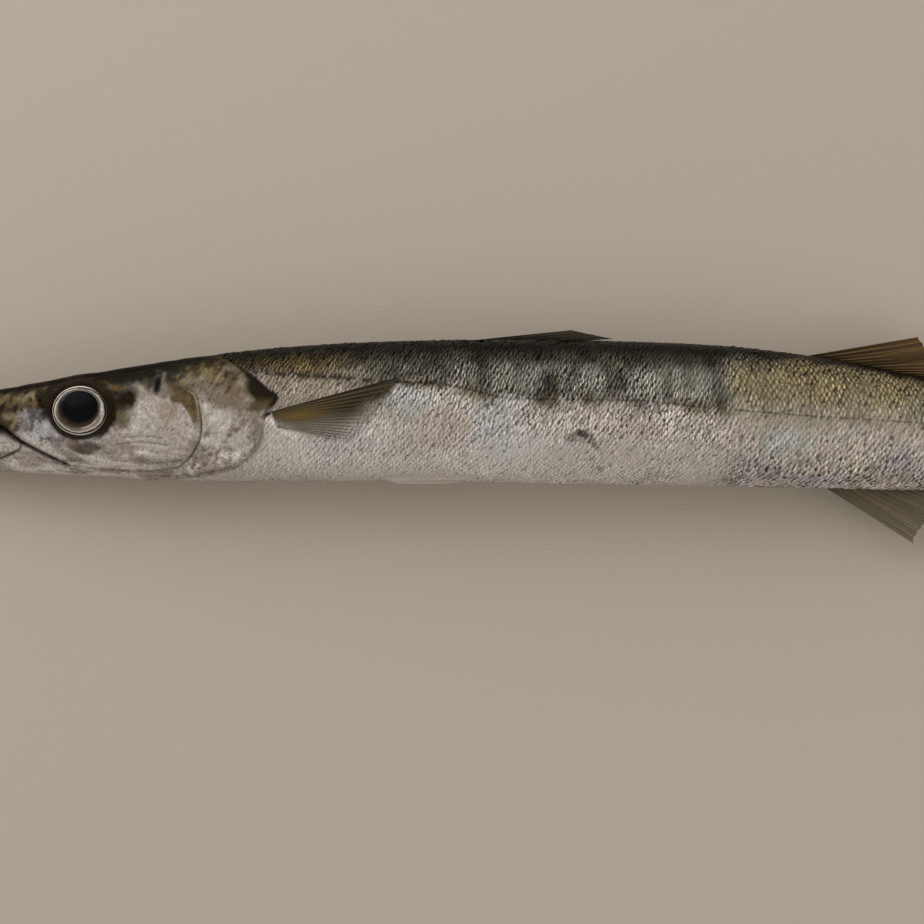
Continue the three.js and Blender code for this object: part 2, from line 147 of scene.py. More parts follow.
def noise(points, size, seed):
    """Smooth noise from -1 to 1 with lumps of a size in mm, from random values on a lattice."""
    values = np.random.default_rng(seed).uniform(-1, 1, (NOISE_CELLS,) * 3)
    scaled = np.asarray(points) / size
    cell = np.floor(scaled).astype(int)
    t = scaled - cell
    t = t * t * (3 - 2 * t)
    total = np.zeros(scaled.shape[:-1])
    for corner in np.ndindex(2, 2, 2):
        weight = np.ones(scaled.shape[:-1])
        for axis in range(3):
            weight = weight * (t[..., axis] if corner[axis] else 1 - t[..., axis])
        at = (cell + corner) % NOISE_CELLS
        total += weight * values[at[..., 0], at[..., 1], at[..., 2]]
    return total


def curve(points, count):
    """A smooth line of count points through a few points, by a Catmull-Rom spline."""
    points = np.asarray(points, float)
    padded = np.vstack([2 * points[0] - points[1], points, 2 * points[-1] - points[-2]])
    at = np.linspace(0, len(points) - 1, count)
    i = np.minimum(at.astype(int), len(points) - 2)
    t = (at - i)[:, None]
    a, b, c, d = (padded[i + k] for k in range(4))
    squared, cubed = 2 * a - 5 * b + 4 * c - d, 3 * b - a - 3 * c + d
    return 0.5 * (2 * b + (c - a) * t + squared * t ** 2 + cubed * t ** 3)


def signed_distance(line, x, y):
    """The distance from points to a line of points, positive on the left of the way it runs."""
    least = np.full(np.shape(x), np.inf)
    for (ax, ay), (bx, by) in zip(line[:-1], line[1:]):
        dx, dy = bx - ax, by - ay
        t = np.clip(((x - ax) * dx + (y - ay) * dy) / (dx * dx + dy * dy), 0, 1)
        far = np.hypot(x - ax - t * dx, y - ay - t * dy)
        side = np.where(dx * (y - ay) - dy * (x - ax) >= 0, 1, -1)
        least = np.where(far < np.abs(least), far * side, least)
    return least


def bell(distance, width):
    """1 at no distance, falling as exp(-(d/w)²)."""
    return np.exp(-((distance / width) ** 2))


def painter(colour):
    """A function that lays a colour over an array of colours, as thickly as a mask says."""
    def paint(hex_text, mask):
        mask = np.clip(mask, 0, 1)[..., None]
        colour[:] = colour * (1 - mask) + linear(hex_text) * mask
    return paint


# The body's form.

def line_through(column):
    """The cubic through one column of the body's lines, with the mean slope at each station."""
    stations, values = LINES[:, 0], LINES[:, column]
    spans = np.diff(stations)
    slopes = np.diff(values) / spans
    inner = (slopes[:-1] * spans[1:] + slopes[1:] * spans[:-1]) / (spans[:-1] + spans[1:])
    tangents = np.concatenate([slopes[:1], inner, slopes[-1:]])

    def at(x):
        held = np.clip(x, stations[0], stations[-1])
        i = np.clip(np.searchsorted(stations, held, side="right") - 1, 0, len(spans) - 1)
        t = (held - stations[i]) / spans[i]
        return (
            (2 * t ** 3 - 3 * t ** 2 + 1) * values[i]
            + (t ** 3 - 2 * t ** 2 + t) * spans[i] * tangents[i]
            + (3 * t ** 2 - 2 * t ** 3) * values[i + 1]
            + (t ** 3 - t ** 2) * spans[i] * tangents[i + 1]
        )
    return at


back_at, belly_at, half_at, height_at = (line_through(column) for column in (1, 2, 3, 4))


def lateral_at(x):
    return np.interp(x, LATERAL_LINE[:, 0], LATERAL_LINE[:, 1])


def head_to_body(x):
    """0 on the head and 1 on the body, for the form of the sections."""
    return smooth(HEAD_END_X - 50, HEAD_END_X + 20, x)


def squareness_at(x):
    return mix(HEAD_SQUARENESS, BODY_SQUARENESS, head_to_body(x))


def crown_at(x):
    return mix(HEAD_CROWN_WIDTH, BODY_CROWN_WIDTH, head_to_body(x))


def side_middle(x):
    """The middle between the back and the belly in the side view, and half the depth."""
    return (back_at(x) + belly_at(x)) / 2, (back_at(x) - belly_at(x)) / 2


def rise_at(x, y):
    """How high a point of the side view lies, from -1 at the belly to 1 at the back."""
    middle, deep = side_middle(x)
    return np.clip((y - middle) / deep, -1, 1)


def body_point(x, angle):
    """A point of the body's plain form: y = middle + deep·cos^(2/n), z = height + half·sin^(2/n).

    The angle runs from the back (0) over the left flank (pi/2) to the belly (pi) and on under the right.
    """
    n = squareness_at(x)
    middle, deep = side_middle(x)
    rise = signed_power(np.cos(angle), 2 / n)
    out = signed_power(np.sin(angle), 2 / n)
    z = height_at(x) + half_at(x) * (1 + crown_at(x) * rise) * out
    return np.stack(np.broadcast_arrays(x, middle + deep * rise, z), axis=-1)


# Small differences along the body and round it, for its normals.
SMALL_STEP = 0.5
SMALL_TURN = 0.01


def body_frame(x, angle):
    """A point of the body with its outward normal and the way round the body, by small differences."""
    along = body_point(x + SMALL_STEP, angle) - body_point(x - SMALL_STEP, angle)
    around = body_point(x, angle + SMALL_TURN) - body_point(x, angle - SMALL_TURN)
    normal = np.cross(along, around)
    normal /= np.linalg.norm(normal, axis=-1, keepdims=True)
    around /= np.linalg.norm(around, axis=-1, keepdims=True)
    return body_point(x, angle), -normal, around


def flank_angle(x, y):
    """The angle on the left flank at a height y of the side view."""
    return np.arccos(np.clip(signed_power(rise_at(x, y), squareness_at(x) / 2), -1, 1))


def half_thickness(x, y):
    """Half the body's plain thickness at a point of the side view."""
    rise = rise_at(x, y)
    n = squareness_at(x)
    return half_at(x) * (1 + crown_at(x) * rise) * (1 - np.abs(rise) ** n) ** (1 / n)


def arc_table(x, count=181):
    """Angles from the back to the belly over one flank, with the length round the body up to each."""
    angles = np.linspace(0, np.pi, count)
    points = body_point(np.full(count, x), angles)
    lengths = np.concatenate([[0], np.cumsum(np.linalg.norm(np.diff(points, axis=0), axis=1))])
    return angles, lengths


# Factors on a point's place that draw the lumps of a noise out along the fish, or up it.
STREAKED = np.array([0.22, 1.0, 1.0])
UPRIGHT = np.array([1.0, 0.4, 0.4])


def brushed(points, degrees, stretch):
    """Points turned in the side view and pressed together, so that noise on them is drawn out that way."""
    a = np.radians(degrees)
    x, y = points[..., 0], points[..., 1]
    along, across = x * np.cos(a) + y * np.sin(a), y * np.cos(a) - x * np.sin(a)
    return np.stack([along / stretch, across, points[..., 2]], axis=-1)


# The head's relief: what stands proud of the plain form or is sunk into it.

gape = curve(GAPE, 60)
lip_fold = curve(LIP_FOLD, 24)
cheek_edge = curve(CHEEK_EDGE, 40)
gill_margin = curve(GILL_MARGIN, 70)
wrinkles = [curve(line, 12) for line in WRINKLES]

# How deep the mouth's groove, the eye's socket and a nostril are sunk.
MOUTH_DEPTH = 2.6
SOCKET_DEPTH = 2.6
NOSTRIL_DEPTH = 1.5


def wrinkle_at(x, y, width):
    """1 on any fine fold and 0 away from all of them."""
    return np.max([bell(signed_distance(line, x, y), width) for line in wrinkles], axis=0)


def eye_ring(x, y):
    """1 on the eye's edge, less inside and more outside."""
    return np.hypot((x - EYE["x"]) / EYE["across"], (y - EYE["y"]) / EYE["along"])


def behind_gills(x, y):
    """How far behind the gill cover's free margin a point of the side view is."""
    return signed_distance(gill_margin, x, y)


def mouth_relief(x, y):
    """The groove of the mouth between its lips, and the fold behind its corner."""
    above_gape = signed_distance(gape, x, y)
    lips = 0.75 * bell(above_gape - 1.7, 1.3) + 0.55 * bell(above_gape + 1.6, 1.2)
    groove = -MOUTH_DEPTH * bell(above_gape, 0.6)
    mouth = groove + lips + 0.35 * smooth(0, 1, above_gape) * bell(above_gape, 9)
    fold = -0.7 * bell(signed_distance(lip_fold, x, y), 0.45)
    return mouth + fold


def eye_relief(x, y):
    """The eye's socket, its raised rim and the crease under it."""
    ring = eye_ring(x, y)
    socket = -SOCKET_DEPTH * (1 - smooth(0.86, 1.02, ring))
    rim = 0.9 * bell(ring - 1.13, 0.1) + socket + 0.5 * bell(ring - 1.3, 0.28)
    crease = -0.4 * bell(ring - 1.25, 0.05) * smooth(-4, 4, EYE["y"] - y)
    return rim + crease


def nostril_relief(x, y):
    """A pit with a raised rim at each nostril."""
    relief = 0
    for middle_x, middle_y, radius in NOSTRILS:
        away = np.hypot(x - middle_x, y - middle_y)
        relief = relief - NOSTRIL_DEPTH * bell(away, radius * 0.75) + 0.3 * bell(away - radius * 1.5, 0.6)
    return relief


def cheek_relief(x, y):
    """The cheek and the gill cover as low plates, each with a shallow groove behind it."""
    below_crown = smooth(0, 5, back_at(x) - y)
    behind_cheek = signed_distance(cheek_edge, x, y)
    cheek = 0.45 * smooth(0.2, -0.6, behind_cheek) * smooth(-16, -2, behind_cheek) * below_crown
    cheek = cheek - 0.25 * bell(behind_cheek - 0.4, 0.5) * smooth(8, -2, y) * smooth(-26, -18, y)
    inside = -behind_gills(x, y)
    cover = COVER_RISE * smooth(0.0, 0.7, inside) * smooth(0, 3.5, behind_cheek) * below_crown
    cover = cover - 0.5 * bell(inside + 0.4, 0.5) * smooth(-8, 4, y)
    return cheek + cover


def head_relief(x, y, points):
    """The head's relief in mm along the normal, from its position in the side view."""
    down = back_at(x) - y
    ridges = 0.22 * np.sin(down * 1.5 + noise(points, 9, 11) * 1.2) * smooth(9, 2, down)
    ridges = ridges * smooth(-300, -270, x) * smooth(-150, -175, x)
    grain = noise(points * STREAKED, 1.6, 5) * smooth(2, -10, y) + noise(points, 1.3, 6) * 0.5
    flesh = 0.22 * noise(points, 11, 3) + 0.12 * noise(points, 3.5, 4) + 0.07 * grain
    flesh = flesh - 0.3 * wrinkle_at(x, y, 0.5)
    return mouth_relief(x, y) + eye_relief(x, y) + nostril_relief(x, y) + cheek_relief(x, y) + ridges + flesh


# The markings, shared by the skin and the scales, with painted shade in the head's grooves and folds and
# round the eye.

# The dark bars of the back: the middle of each, half its width and how dark it is.
BAR_MIDDLES = np.array([-106, -88, -71, -55, -33.5, -8, 11.7, 31.4, 53, 66.5, 86, 108, 130, 152, 174, 196])
BAR_WIDTHS = np.array([4, 4.5, 5, 4.5, 6.5, 7, 4.5, 6.5, 4, 2.4, 5, 5, 5, 5, 4, 4])
BAR_DEPTHS = np.array([0.3, 0.4, 0.5, 0.8, 0.9, 0.9, 0.8, 0.7, 0.5, 0.9, 0.2, 0.15, 0.15, 0.15, 0.1, 0.1])

# How far a bar leans with each mm up the flank, and the height at which its middle is given.
BAR_LEAN = 0.18
BAR_HEIGHT = 12

# Where the flank turns from silver to golden, on the skin's own colours and in the form of the scales.
GOLDEN_SKIN_X = (69, 79)
GOLDEN_SCALES_X = (67, 82)

# Small dark stains on the flank: middle, half sizes, turn in degrees and strength.
STAINS = [
    (8.6, -8.8, 3.4, 1.7, -18, 0.9), (4.5, -10.5, 4.5, 2.0, 0, 0.45), (13.2, -12.6, 1.1, 3.6, 40, 0.5),
    (30.0, -15.5, 3.0, 1.4, 10, 0.35), (67.7, 1.9, 0.9, 0.9, 0, 0.8), (64.6, -1.6, 0.8, 0.8, 0, 0.7),
    (16.0, -24.0, 1.5, 1.0, 0, 0.4), (49.0, -12.0, 1.2, 0.9, 0, 0.3),
]

# Faint tints of the silver flank, bluish and reddish: colour, middle, half sizes and strength.
TINTS = [
    ("#a4a7a8", (-27.0, -6.0), (14.0, 15.0), 0.5), ("#a2a5a6", (-68.0, 6.0), (9.0, 7.0), 0.5),
    ("#a5968b", (-54.0, -8.0), (15.0, 8.0), 0.55), ("#a39b98", (-96.0, -14.0), (15.0, 7.0), 0.5),
    ("#a0a4a0", (98.0, -13.0), (12.0, 6.0), 0.5), ("#a4978c", (36.0, -6.0), (14.0, 6.0), 0.4),
]

# Soft patches of the head: colour, middle, half sizes, turn in degrees and strength.
HEAD_PATCHES = [
    ("#8e8a8c", (-230.5, -5.5), (12.0, 6.0), -18, 0.8),
    ("#6e665f", (-223.2, -12.4), (3.4, 2.6), -40, 0.75),
    ("#7d6d58", (-241.5, -2.6), (7.5, 2.2), -20, 0.8),
    ("#8b8274", (-186.0, 11.5), (11.0, 5.5), 0, 0.75),
    ("#221a0e", (-204.0, 15.0), (18.0, 4.6), 10, 0.97),
    ("#261d0e", (-196.6, 4.6), (5.0, 9.6), -12, 0.97),
    ("#594728", (-198.8, 12.6), (6.6, 1.9), -22, 0.85),
    ("#1c1509", (-190.6, 6.4), (4.6, 5.2), -20, 1.0),
    ("#615740", (-193.6, -2.4), (3.6, 4.4), 20, 0.9),
    ("#423c33", (-182.6, 14.2), (4.8, 3.4), 0, 0.9),
    ("#2b2824", (-179.8, 14.0), (2.4, 4.4), -10, 0.9),
    ("#6c6454", (-174.0, 12.5), (3.0, 6.5), -10, 0.85),
    ("#7d7358", (-235.4, 7.6), (3.6, 2.2), 25, 0.85),
    ("#1f180b", (-230.8, 6.8), (2.1, 4.6), 12, 0.97),
    ("#160f07", (-226.6, 6.6), (3.0, 9.5), -8, 1.0),
    ("#3d3429", (-209.6, -14.8), (7.8, 2.9), 3, 0.92),
    ("#5a4f42", (-215.6, -13.4), (3.4, 2.6), 0, 0.8),
    ("#857c73", (-198.5, -13.0), (6.0, 3.0), 0, 0.6),
    ("#665c52", (-217.0, -18.5), (8.0, 2.0), -24, 0.7),
    ("#867c72", (-176.0, -20.6), (12.0, 2.4), 0, 0.5),
    ("#857b71", (-234.0, -19.5), (9.0, 3.0), -6, 0.7),
    ("#b1a9a0", (-180.0, -11.5), (14.0, 4.5), 0, 0.5),
    ("#cfcdbf", (-185.5, -16.8), (3.4, 1.1), 0, 0.8),
    ("#dcd6cf", (-143.5, -19.0), (2.3, 2.2), 0, 0.7),
    ("#b4aca2", (-150.5, -1.5), (8.0, 7.0), 35, 0.6),
    ("#746a5b", (-138.5, 0.0), (4.6, 7.0), 0, 0.75),
    ("#c5beb8", (-152.0, -12.0), (6.0, 3.0), 10, 0.5),
    ("#756963", (-160.5, -17.0), (4.5, 5.0), 20, 0.5),
    ("#b3aba2", (-141.5, -12.5), (5.0, 4.4), 0, 0.8),
    ("#867b78", (-133.5, -9.0), (2.2, 8.0), 0, 0.5),
    ("#6c5f4f", (-148.5, 8.5), (13.0, 6.5), -16, 0.9),
    ("#4b3d27", (-145.5, 14.0), (7.0, 4.6), -30, 0.85),
    ("#50462f", (-164.0, 14.0), (6.0, 3.6), -10, 0.85),
    ("#8e8070", (-173.5, 1.0), (5.0, 5.0), 0, 0.7),
    ("#56462d", (-161.2, 0.0), (2.0, 5.6), 0, 0.75),
    ("#3b311e", (-159.0, 20.0), (15.0, 4.4), -2, 0.97),
    ("#716248", (-155.5, 16.6), (5.0, 3.6), 0, 0.8),
    ("#241e0e", (-171.2, 16.0), (3.4, 4.6), -20, 0.97),
    ("#241d10", (-149.5, 23.4), (8.0, 3.0), 0, 0.97),
    ("#1d160c", (-129.6, -0.4), (3.6, 1.3), 15, 0.95),
]

# Patches with a function's own colours: middle, half sizes and turn in degrees.
BLUE_PATCH = ((-229.5, -5.5), (13, 6.5), -18)
CHEEK_NOTCH = ((-177.4, 13.0), (1.9, 4.8), -14)
PALE_SPOT = ((-121.5, -6.5), (8.5, 2.6), -28)


def blob(x, y, middle, sizes, turn):
    """An elliptical patch with a soft edge: exp(-r⁶) of its own radius r."""
    a = np.radians(turn)
    dx, dy = x - middle[0], y - middle[1]
    u = (dx * np.cos(a) + dy * np.sin(a)) / sizes[0]
    v = (-dx * np.sin(a) + dy * np.cos(a)) / sizes[1]
    return np.exp(-((u * u + v * v) ** 3))


def clouds(points):
    """The places x and y of points with the noises that several markings share, from coarse to fine."""
    return SimpleNamespace(
        points=points, x=points[..., 0], y=points[..., 1], lump=noise(points, 6, 21),
        fine=noise(points, 1.8, 22), speck=noise(points, 0.9, 24),
    )


def paint_flank(paint, at):
    """The ground of the trunk: silver in front, golden behind, darker above the lateral line."""
    x, y, lump, rear, above, down = at.x, at.y, at.lump, at.rear, at.above, at.down
    paint("#aaa298", np.ones(x.shape))
    paint("#bbb4ac", bell(x + 60, 90) * smooth(14, -8, y) * smooth(2, -14, y))
    paint("#857d73", rear * smooth(-16, -26, y))
    paint("#a0978c", rear * 0.8)
    paint("#7f7364", smooth(-70, -112, x) * smooth(-4, 7, y) * 0.9)
    paint("#2b2517", rear * smooth(114, 84, x) * smooth(14, 5, down) * 0.8)
    paint("#454137", at.upper * (1 - rear))
    paint("#8b816a", rear * smooth(-9, 9, above + lump))
    paint("#7d7154", rear * smooth(2, 14, above + 2 * lump) * 0.9)
    paint("#70705f", rear * smooth(0.0, 0.6, noise(at.points, 12, 28)) * bell(above - 9, 8) * 0.5)
    paint("#5b5a4c", rear * smooth(104, 80, x) * smooth(16, 8, down + 2 * lump) * 0.7)
    paint("#857f87", rear * smooth(-0.1, 0.6, noise(at.points, 10, 29)) * smooth(-13, -20, y) * 0.6)
    paint("#5b4d30", smooth(-80, -108, x + 4 * lump) * smooth(-1, 4, above) * smooth(3, 8, down))


def paint_bars(paint, at):
    """Dark bars down from the back, each ending in a brown smudge on the lateral line."""
    for middle, width, depth in zip(BAR_MIDDLES, BAR_WIDTHS, BAR_DEPTHS):
        lean = BAR_LEAN * (at.y - BAR_HEIGHT)
        across = bell(at.x + lean - middle - 1.5 * at.lump, width)
        paint("#15130e", across * smooth(-9, 4, at.above) * depth * 0.8)
        paint("#2a2113", across * bell(at.above + 0.5, 2.6) * smooth(-0.6, 0.3, at.fine) * depth * 0.7)


def paint_back(paint, at):
    """Pale upright strokes between the bars, and the dark edge of the back."""
    x, lump, rear, down = at.x, at.lump, at.rear, at.down
    pillar = noise(at.points * UPRIGHT, 5, 33)
    pale = at.upper * (1 - rear) * smooth(-120, -80, x) * smooth(9, 15, down) * smooth(-0.3, 0.6, pillar)
    paint("#8c897e", pale * mix(0.5, 0.75, smooth(0, 25, x)) * mix(0.35, 1, smooth(67, 58, x)))
    edge_depth = mix(13, 7, smooth(72, 115, x))
    paint("#0c0a07", smooth(edge_depth, mix(2, -0.5, rear), down + 2 * lump) * 0.95)
    paint("#100e09", smooth(5.5, 1.5, down + lump) * 0.85)


def paint_lateral_line(paint, at):
    """Brown spots along the lateral line, its fine dark thread and flecks of the shoulder above it."""
    x, y, lump, fine, above = at.x, at.y, at.lump, at.fine, at.above
    behind_shoulder = smooth(-100, -20, x)
    spots = smooth(-0.1, 0.5, lump + 0.6 * fine) * bell(above, 3.0) * smooth(-140, -110, x) * (1 - at.rear)
    paint("#54492f", spots * 0.7)
    thread = bell(y - lateral_at(x), mix(1.2, 0.4, behind_shoulder)) * smooth(-150, -140, x)
    paint("#1d170e", thread * mix(0.9, 0.75, behind_shoulder) * smooth(-0.7, 0.2, fine))
    shoulder = smooth(-84, -100, x) * smooth(2, 7, above) * smooth(1, 6, at.down)
    paint("#3a3019", shoulder * smooth(0.0, 0.5, -fine - 0.5 * lump) * 0.8)


def paint_stains(paint, at):
    """Small dark stains, then faint tints of the silver and the pale keel of the belly."""
    x, y, lump = at.x, at.y, at.lump
    for middle_x, middle_y, size_x, size_y, turn, strength in STAINS:
        shape = blob(x + 1.1 * at.fine, y + 0.8 * at.speck, (middle_x, middle_y), (size_x, size_y), turn)
        paint("#2a231e", shape * strength)
    for hex_text, middle, sizes, strength in TINTS:
        paint(hex_text, blob(x + 3 * lump, y + 3 * lump, middle, sizes, 0) * (1 - at.upper) * strength)
    pinkish = smooth(0.1, 0.7, noise(at.points, 17, 34)) * smooth(8, -4, y)
    paint("#a5988e", pinkish * 0.35)
    paint("#a8a098", smooth(4, 1, y - belly_at(x)) * 0.4)


def trunk_markings(points):
    """The trunk's colours: silver below the lateral line, barred dark above it, golden towards the tail."""
    at = clouds(points)
    at.down = back_at(at.x) - at.y
    at.above = at.y - lateral_at(at.x) + 1.2 * at.lump
    at.rear = smooth(*GOLDEN_SKIN_X, at.x + 1.5 * at.lump)
    at.upper = smooth(-3.5, 4.5, at.above)
    colour = np.zeros(points.shape)
    for stage in (paint_flank, paint_bars, paint_back, paint_lateral_line, paint_stains):
        stage(painter(colour), at)
    return colour * (1 + 0.09 * noise(points, 14, 23) + 0.07 * at.fine)[..., None]


def paint_silver(paint, at):
    """The head's silver: clouds, then bright and dark grains, long on the throat, aslant on the cover."""
    x, y, lump, fine, speck, streak, head = at.x, at.y, at.lump, at.fine, at.speck, at.streak, at.head
    paint("#a69d94", head)
    paint("#857c72", head * smooth(-238, -258, x))
    cloud = noise(at.points, 9, 27) + 0.5 * lump
    paint("#c2bab2", head * smooth(0.1, 0.8, cloud) * 0.5)
    paint("#80756f", head * smooth(0.1, 0.8, -cloud) * 0.55)
    paint("#a4907e", head * smooth(0.1, 0.7, noise(at.points, 12, 37)) * 0.3)
    paint("#d0c9c2", head * smooth(0.35, 0.9, speck + 0.3 * fine) * 0.5)
    paint("#5a5249", head * smooth(0.35, 0.9, -speck - 0.4 * streak) * 0.55)
    throat = head * smooth(-9, -17, y)
    paint("#bdb6ac", throat * smooth(0.15, 0.6, streak) * 0.55)
    paint("#6a6258", throat * smooth(0.15, 0.6, -streak) * 0.55)
    aslant = noise(brushed(at.points, 52, 3), 1.3, 35) + 0.5 * speck + 0.25 * lump
    cover = head * smooth(0.5, 3, at.behind_cheek)
    paint("#9d9389", cover * 0.85)
    paint("#dcd4cc", cover * smooth(0.25, 0.7, aslant) * 0.8)
    paint("#554b41", cover * smooth(0.15, 0.7, -aslant) * 0.85)


def paint_snout(paint, at):
    """The snout in tan patches parted by dark marks, then the head's soft patches and flecks on the blue."""
    x, y, lump, small, fine, head = at.x, at.y, at.lump, at.small, at.fine, at.head
    snout_edge = mix(19.5, 11, smooth(-250, -300, x))
    snout = head * smooth(snout_edge + 2.5, snout_edge - 3, at.down + 3 * lump) * smooth(-218, -228, x)
    paint("#392e1c", snout * 0.97)
    marks = noise(brushed(at.points, 68, 2.2), 2.0, 39)
    tan = lump + 0.6 * marks + 0.4 * fine
    paint("#62533a", snout * smooth(0.1, 0.6, tan) * 0.8)
    paint("#8a7e60", snout * smooth(0.4, 0.95, marks + 0.5 * fine) * 0.6)
    paint("#191209", snout * smooth(0.0, 0.5, -marks - 0.5 * lump) * 0.9)
    for hex_text, middle, sizes, turn, strength in HEAD_PATCHES:
        shape = blob(x + 1.2 * lump + 0.9 * small, y + 0.7 * fine + 0.8 * small, middle, sizes, turn)
        paint(hex_text, shape * strength * (1 + 0.12 * fine))
    blue = head * blob(x, y, *BLUE_PATCH)
    paint("#b3b1b3", blue * smooth(0.1, 0.6, small + 0.6 * fine) * 0.6)
    paint("#3b3532", blue * smooth(0.1, 0.45, -marks - 0.6 * at.speck) * 0.8)


def paint_crown(paint, at):
    """The olive top of the gill cover, finely combed, and the dark crown."""
    x, lump, fine, head, down = at.x, at.lump, at.fine, at.head, at.down
    comb = noise(brushed(at.points, 62, 5), 1.1, 38) + 0.4 * fine
    top = head * smooth(6, 13, at.y + 1.5 * lump) * smooth(0, 3, at.behind_cheek)
    paint("#8b7c5e", top * smooth(0.1, 0.6, comb) * smooth(3, 7, down) * 0.5)
    paint("#2c2314", top * smooth(0.1, 0.6, -comb) * 0.7)
    crown_depth = mix(mix(3.5, 10.5, smooth(-232, -217, x)), 7.5, smooth(-182, -166, x))
    crown = smooth(0, -4.5, down + 2.2 * lump + 0.8 * fine - crown_depth)
    paint("#18130b", head * crown)
    paint("#5c543b", head * crown * smooth(0.35, 0.8, at.streak) * 0.5)
    paint("#060503", head * smooth(5.5, 2, down) * 0.9)


def paint_cheek_edge(paint, at):
    """The edge of the cheek, with a broad olive band down to the height of the eye, a dark notch and painted
    shade in the groove behind the edge.
    """
    x, y, lump, small, fine, behind_cheek = at.x, at.y, at.lump, at.small, at.fine, at.behind_cheek
    upper_cheek = smooth(-12, 3, y)
    wide = mix(1.6, 8.5, smooth(-5, 7, y))
    band = smooth(-wide - 1.5, -wide + 0.8, behind_cheek + lump + 0.5 * small)
    band = band * smooth(0.8, -0.4, behind_cheek) * upper_cheek
    band = band * smooth(15.5, 11.5, y + 0.6 * fine) * smooth(-174, -170.5, x + 0.5 * small)
    paint("#57482e", band * 0.97)
    paint("#7b6c4c", band * smooth(-0.1, 0.6, small + 0.5 * fine) * smooth(12, 5, y) * 0.4)
    paint("#3f3320", band * bell(behind_cheek + 1.2, 1.2) * smooth(-2, 4, y) * 0.6)
    paint("#b5aa8e", bell(behind_cheek + 0.5, 0.4) * upper_cheek * smooth(11, 8, y) * 0.6)
    paint("#0e0b0a", blob(x + 0.5 * small, y + 0.5 * fine, *CHEEK_NOTCH))
    paint("#7d7264", bell(behind_cheek + 2.0, 1.8) * 0.5 * (1 - upper_cheek))
    # Painted shade in the groove behind the cheek's edge, strongest low down.
    paint("#2f2618", bell(behind_cheek - 0.3, 0.5) * mix(0.9, 0.35, smooth(0, 8, y)) * smooth(-26, -20, y))


def paint_gill_margin(paint, at):
    """The free edge of the gill cover, with a dark wedge at its corner, painted shade in the groove under the
    edge and along the soft fold inside its lower part.
    """
    y, lump, inside = at.y, at.lump, at.inside
    on_top = smooth(0, 4.5, y + 0.5 * lump)
    wide = mix(0.9, 8.0, smooth(19, 8, y))
    to_margin = smooth(-0.6, 0.4, inside)
    wedge = smooth(wide, wide - 1.5, inside + 0.9 * lump)
    paint("#4a3f27", smooth(wide + 3, wide - 1, inside + lump) * to_margin * on_top * 0.85)
    paint("#1b150a", wedge * to_margin * on_top)
    paint("#54472f", wedge * bell(y - 3.4, 2.4) * smooth(0.6, 1.6, inside))
    # Painted shade along the soft fold inside the cover's lower margin.
    paint("#7b7068", bell(inside - 1.5, 1.6) * 0.5 * (1 - on_top))
    # Painted shade in the groove under the cover's free edge.
    paint("#17120b", bell(inside + 0.3, 0.6) * smooth(-190, -168, at.x) * mix(0.3, 0.95, on_top))


def paint_mouth_and_eye(paint, at):
    """The mouth, the folds, the dark surround of the eye, the nostrils and a pale spot behind the cover, with
    painted shade in the mouth's groove, under its upper lip, in the folds, below and behind the eye and in
    the nostrils.
    """
    x, y, small, fine = at.x, at.y, at.small, at.fine
    above_gape = signed_distance(gape, x, y)
    thick = mix(2.0, 0.7, smooth(-252, -234, x))
    # The mouth's groove painted dark as shade, with the upper lip's painted shadow just above it.
    paint("#3d3322", bell(above_gape - 0.8, thick + 0.8) * 0.7 * smooth(-214, -226, x))
    paint("#150d06", bell(above_gape + 0.3 * fine, thick) * smooth(-214, -221, x))
    # Painted shade in the fold behind the mouth's corner and, patchily, in the fine folds.
    paint("#1e170f", bell(signed_distance(lip_fold, x, y), 0.6) * 0.9)
    paint("#4a4037", wrinkle_at(x, y, 0.45) * at.head * smooth(-0.8, 0.1, fine) * 0.6)
    ring = eye_ring(x, y)
    from_eye_x, from_eye_y = (x - EYE["x"]) / EYE["across"], (y - EYE["y"]) / EYE["along"]
    paint("#1a130a", smooth(1.2, 1.1, ring + 0.02 * small) * 0.95)
    # Painted shade in a crescent behind and below the eye, under its raised rim.
    rear_eye_shade = smooth(1.44, 1.26, ring + 0.08 * small) * smooth(0.4, 0.9, from_eye_x - 0.1 * from_eye_y)
    paint("#1d160b", rear_eye_shade * 0.97)
    under_eye_shade = bell(ring - 1.1 - 0.03 * small, 0.08) * smooth(0.2, -0.3, from_eye_y)
    paint("#1d160c", under_eye_shade * smooth(-1.1, -0.2, from_eye_x) * 0.95)
    paint("#241b0f", smooth(1.5, 1.1, ring) * smooth(-0.1, 0.5, from_eye_y - 0.3 * from_eye_x) * 0.92)
    # The nostrils' pits painted dark as shade.
    for middle_x, middle_y, radius in NOSTRILS:
        paint("#14100b", bell(np.hypot(x - middle_x, y - middle_y), radius * 0.9) * 0.8)
    paint("#dad2cb", blob(x + 0.6 * small, y + 0.4 * fine, *PALE_SPOT) * 0.85)


def head_markings(points, trunk):
    """The head's colours, laid over the trunk's: silver cheeks and jaws, an olive snout and a dark crown."""
    at = clouds(points)
    at.small = noise(points, 3.2, 36)
    at.streak = noise(points * STREAKED, 1.7, 25)
    at.down = back_at(at.x) - at.y
    at.behind_cheek = signed_distance(cheek_edge, at.x, at.y)
    at.inside = -behind_gills(at.x, at.y)
    at.head = smooth(-1.5, 1.5, at.inside)
    colour = trunk.copy()
    stages = (
        paint_silver, paint_snout, paint_crown, paint_cheek_edge, paint_gill_margin, paint_mouth_and_eye,
    )
    for stage in stages:
        stage(painter(colour), at)
    return colour * (1 + 0.06 * at.fine)[..., None]


def markings(points):
    """The fish's colours at points of its surface, linear, with the same pattern on both flanks."""
    colour = trunk_markings(points)
    near = points[..., 0] < HEAD_PAINT_END_X
    colour[near] = head_markings(points[near], colour[near])
    return colour


# Meshes and materials.

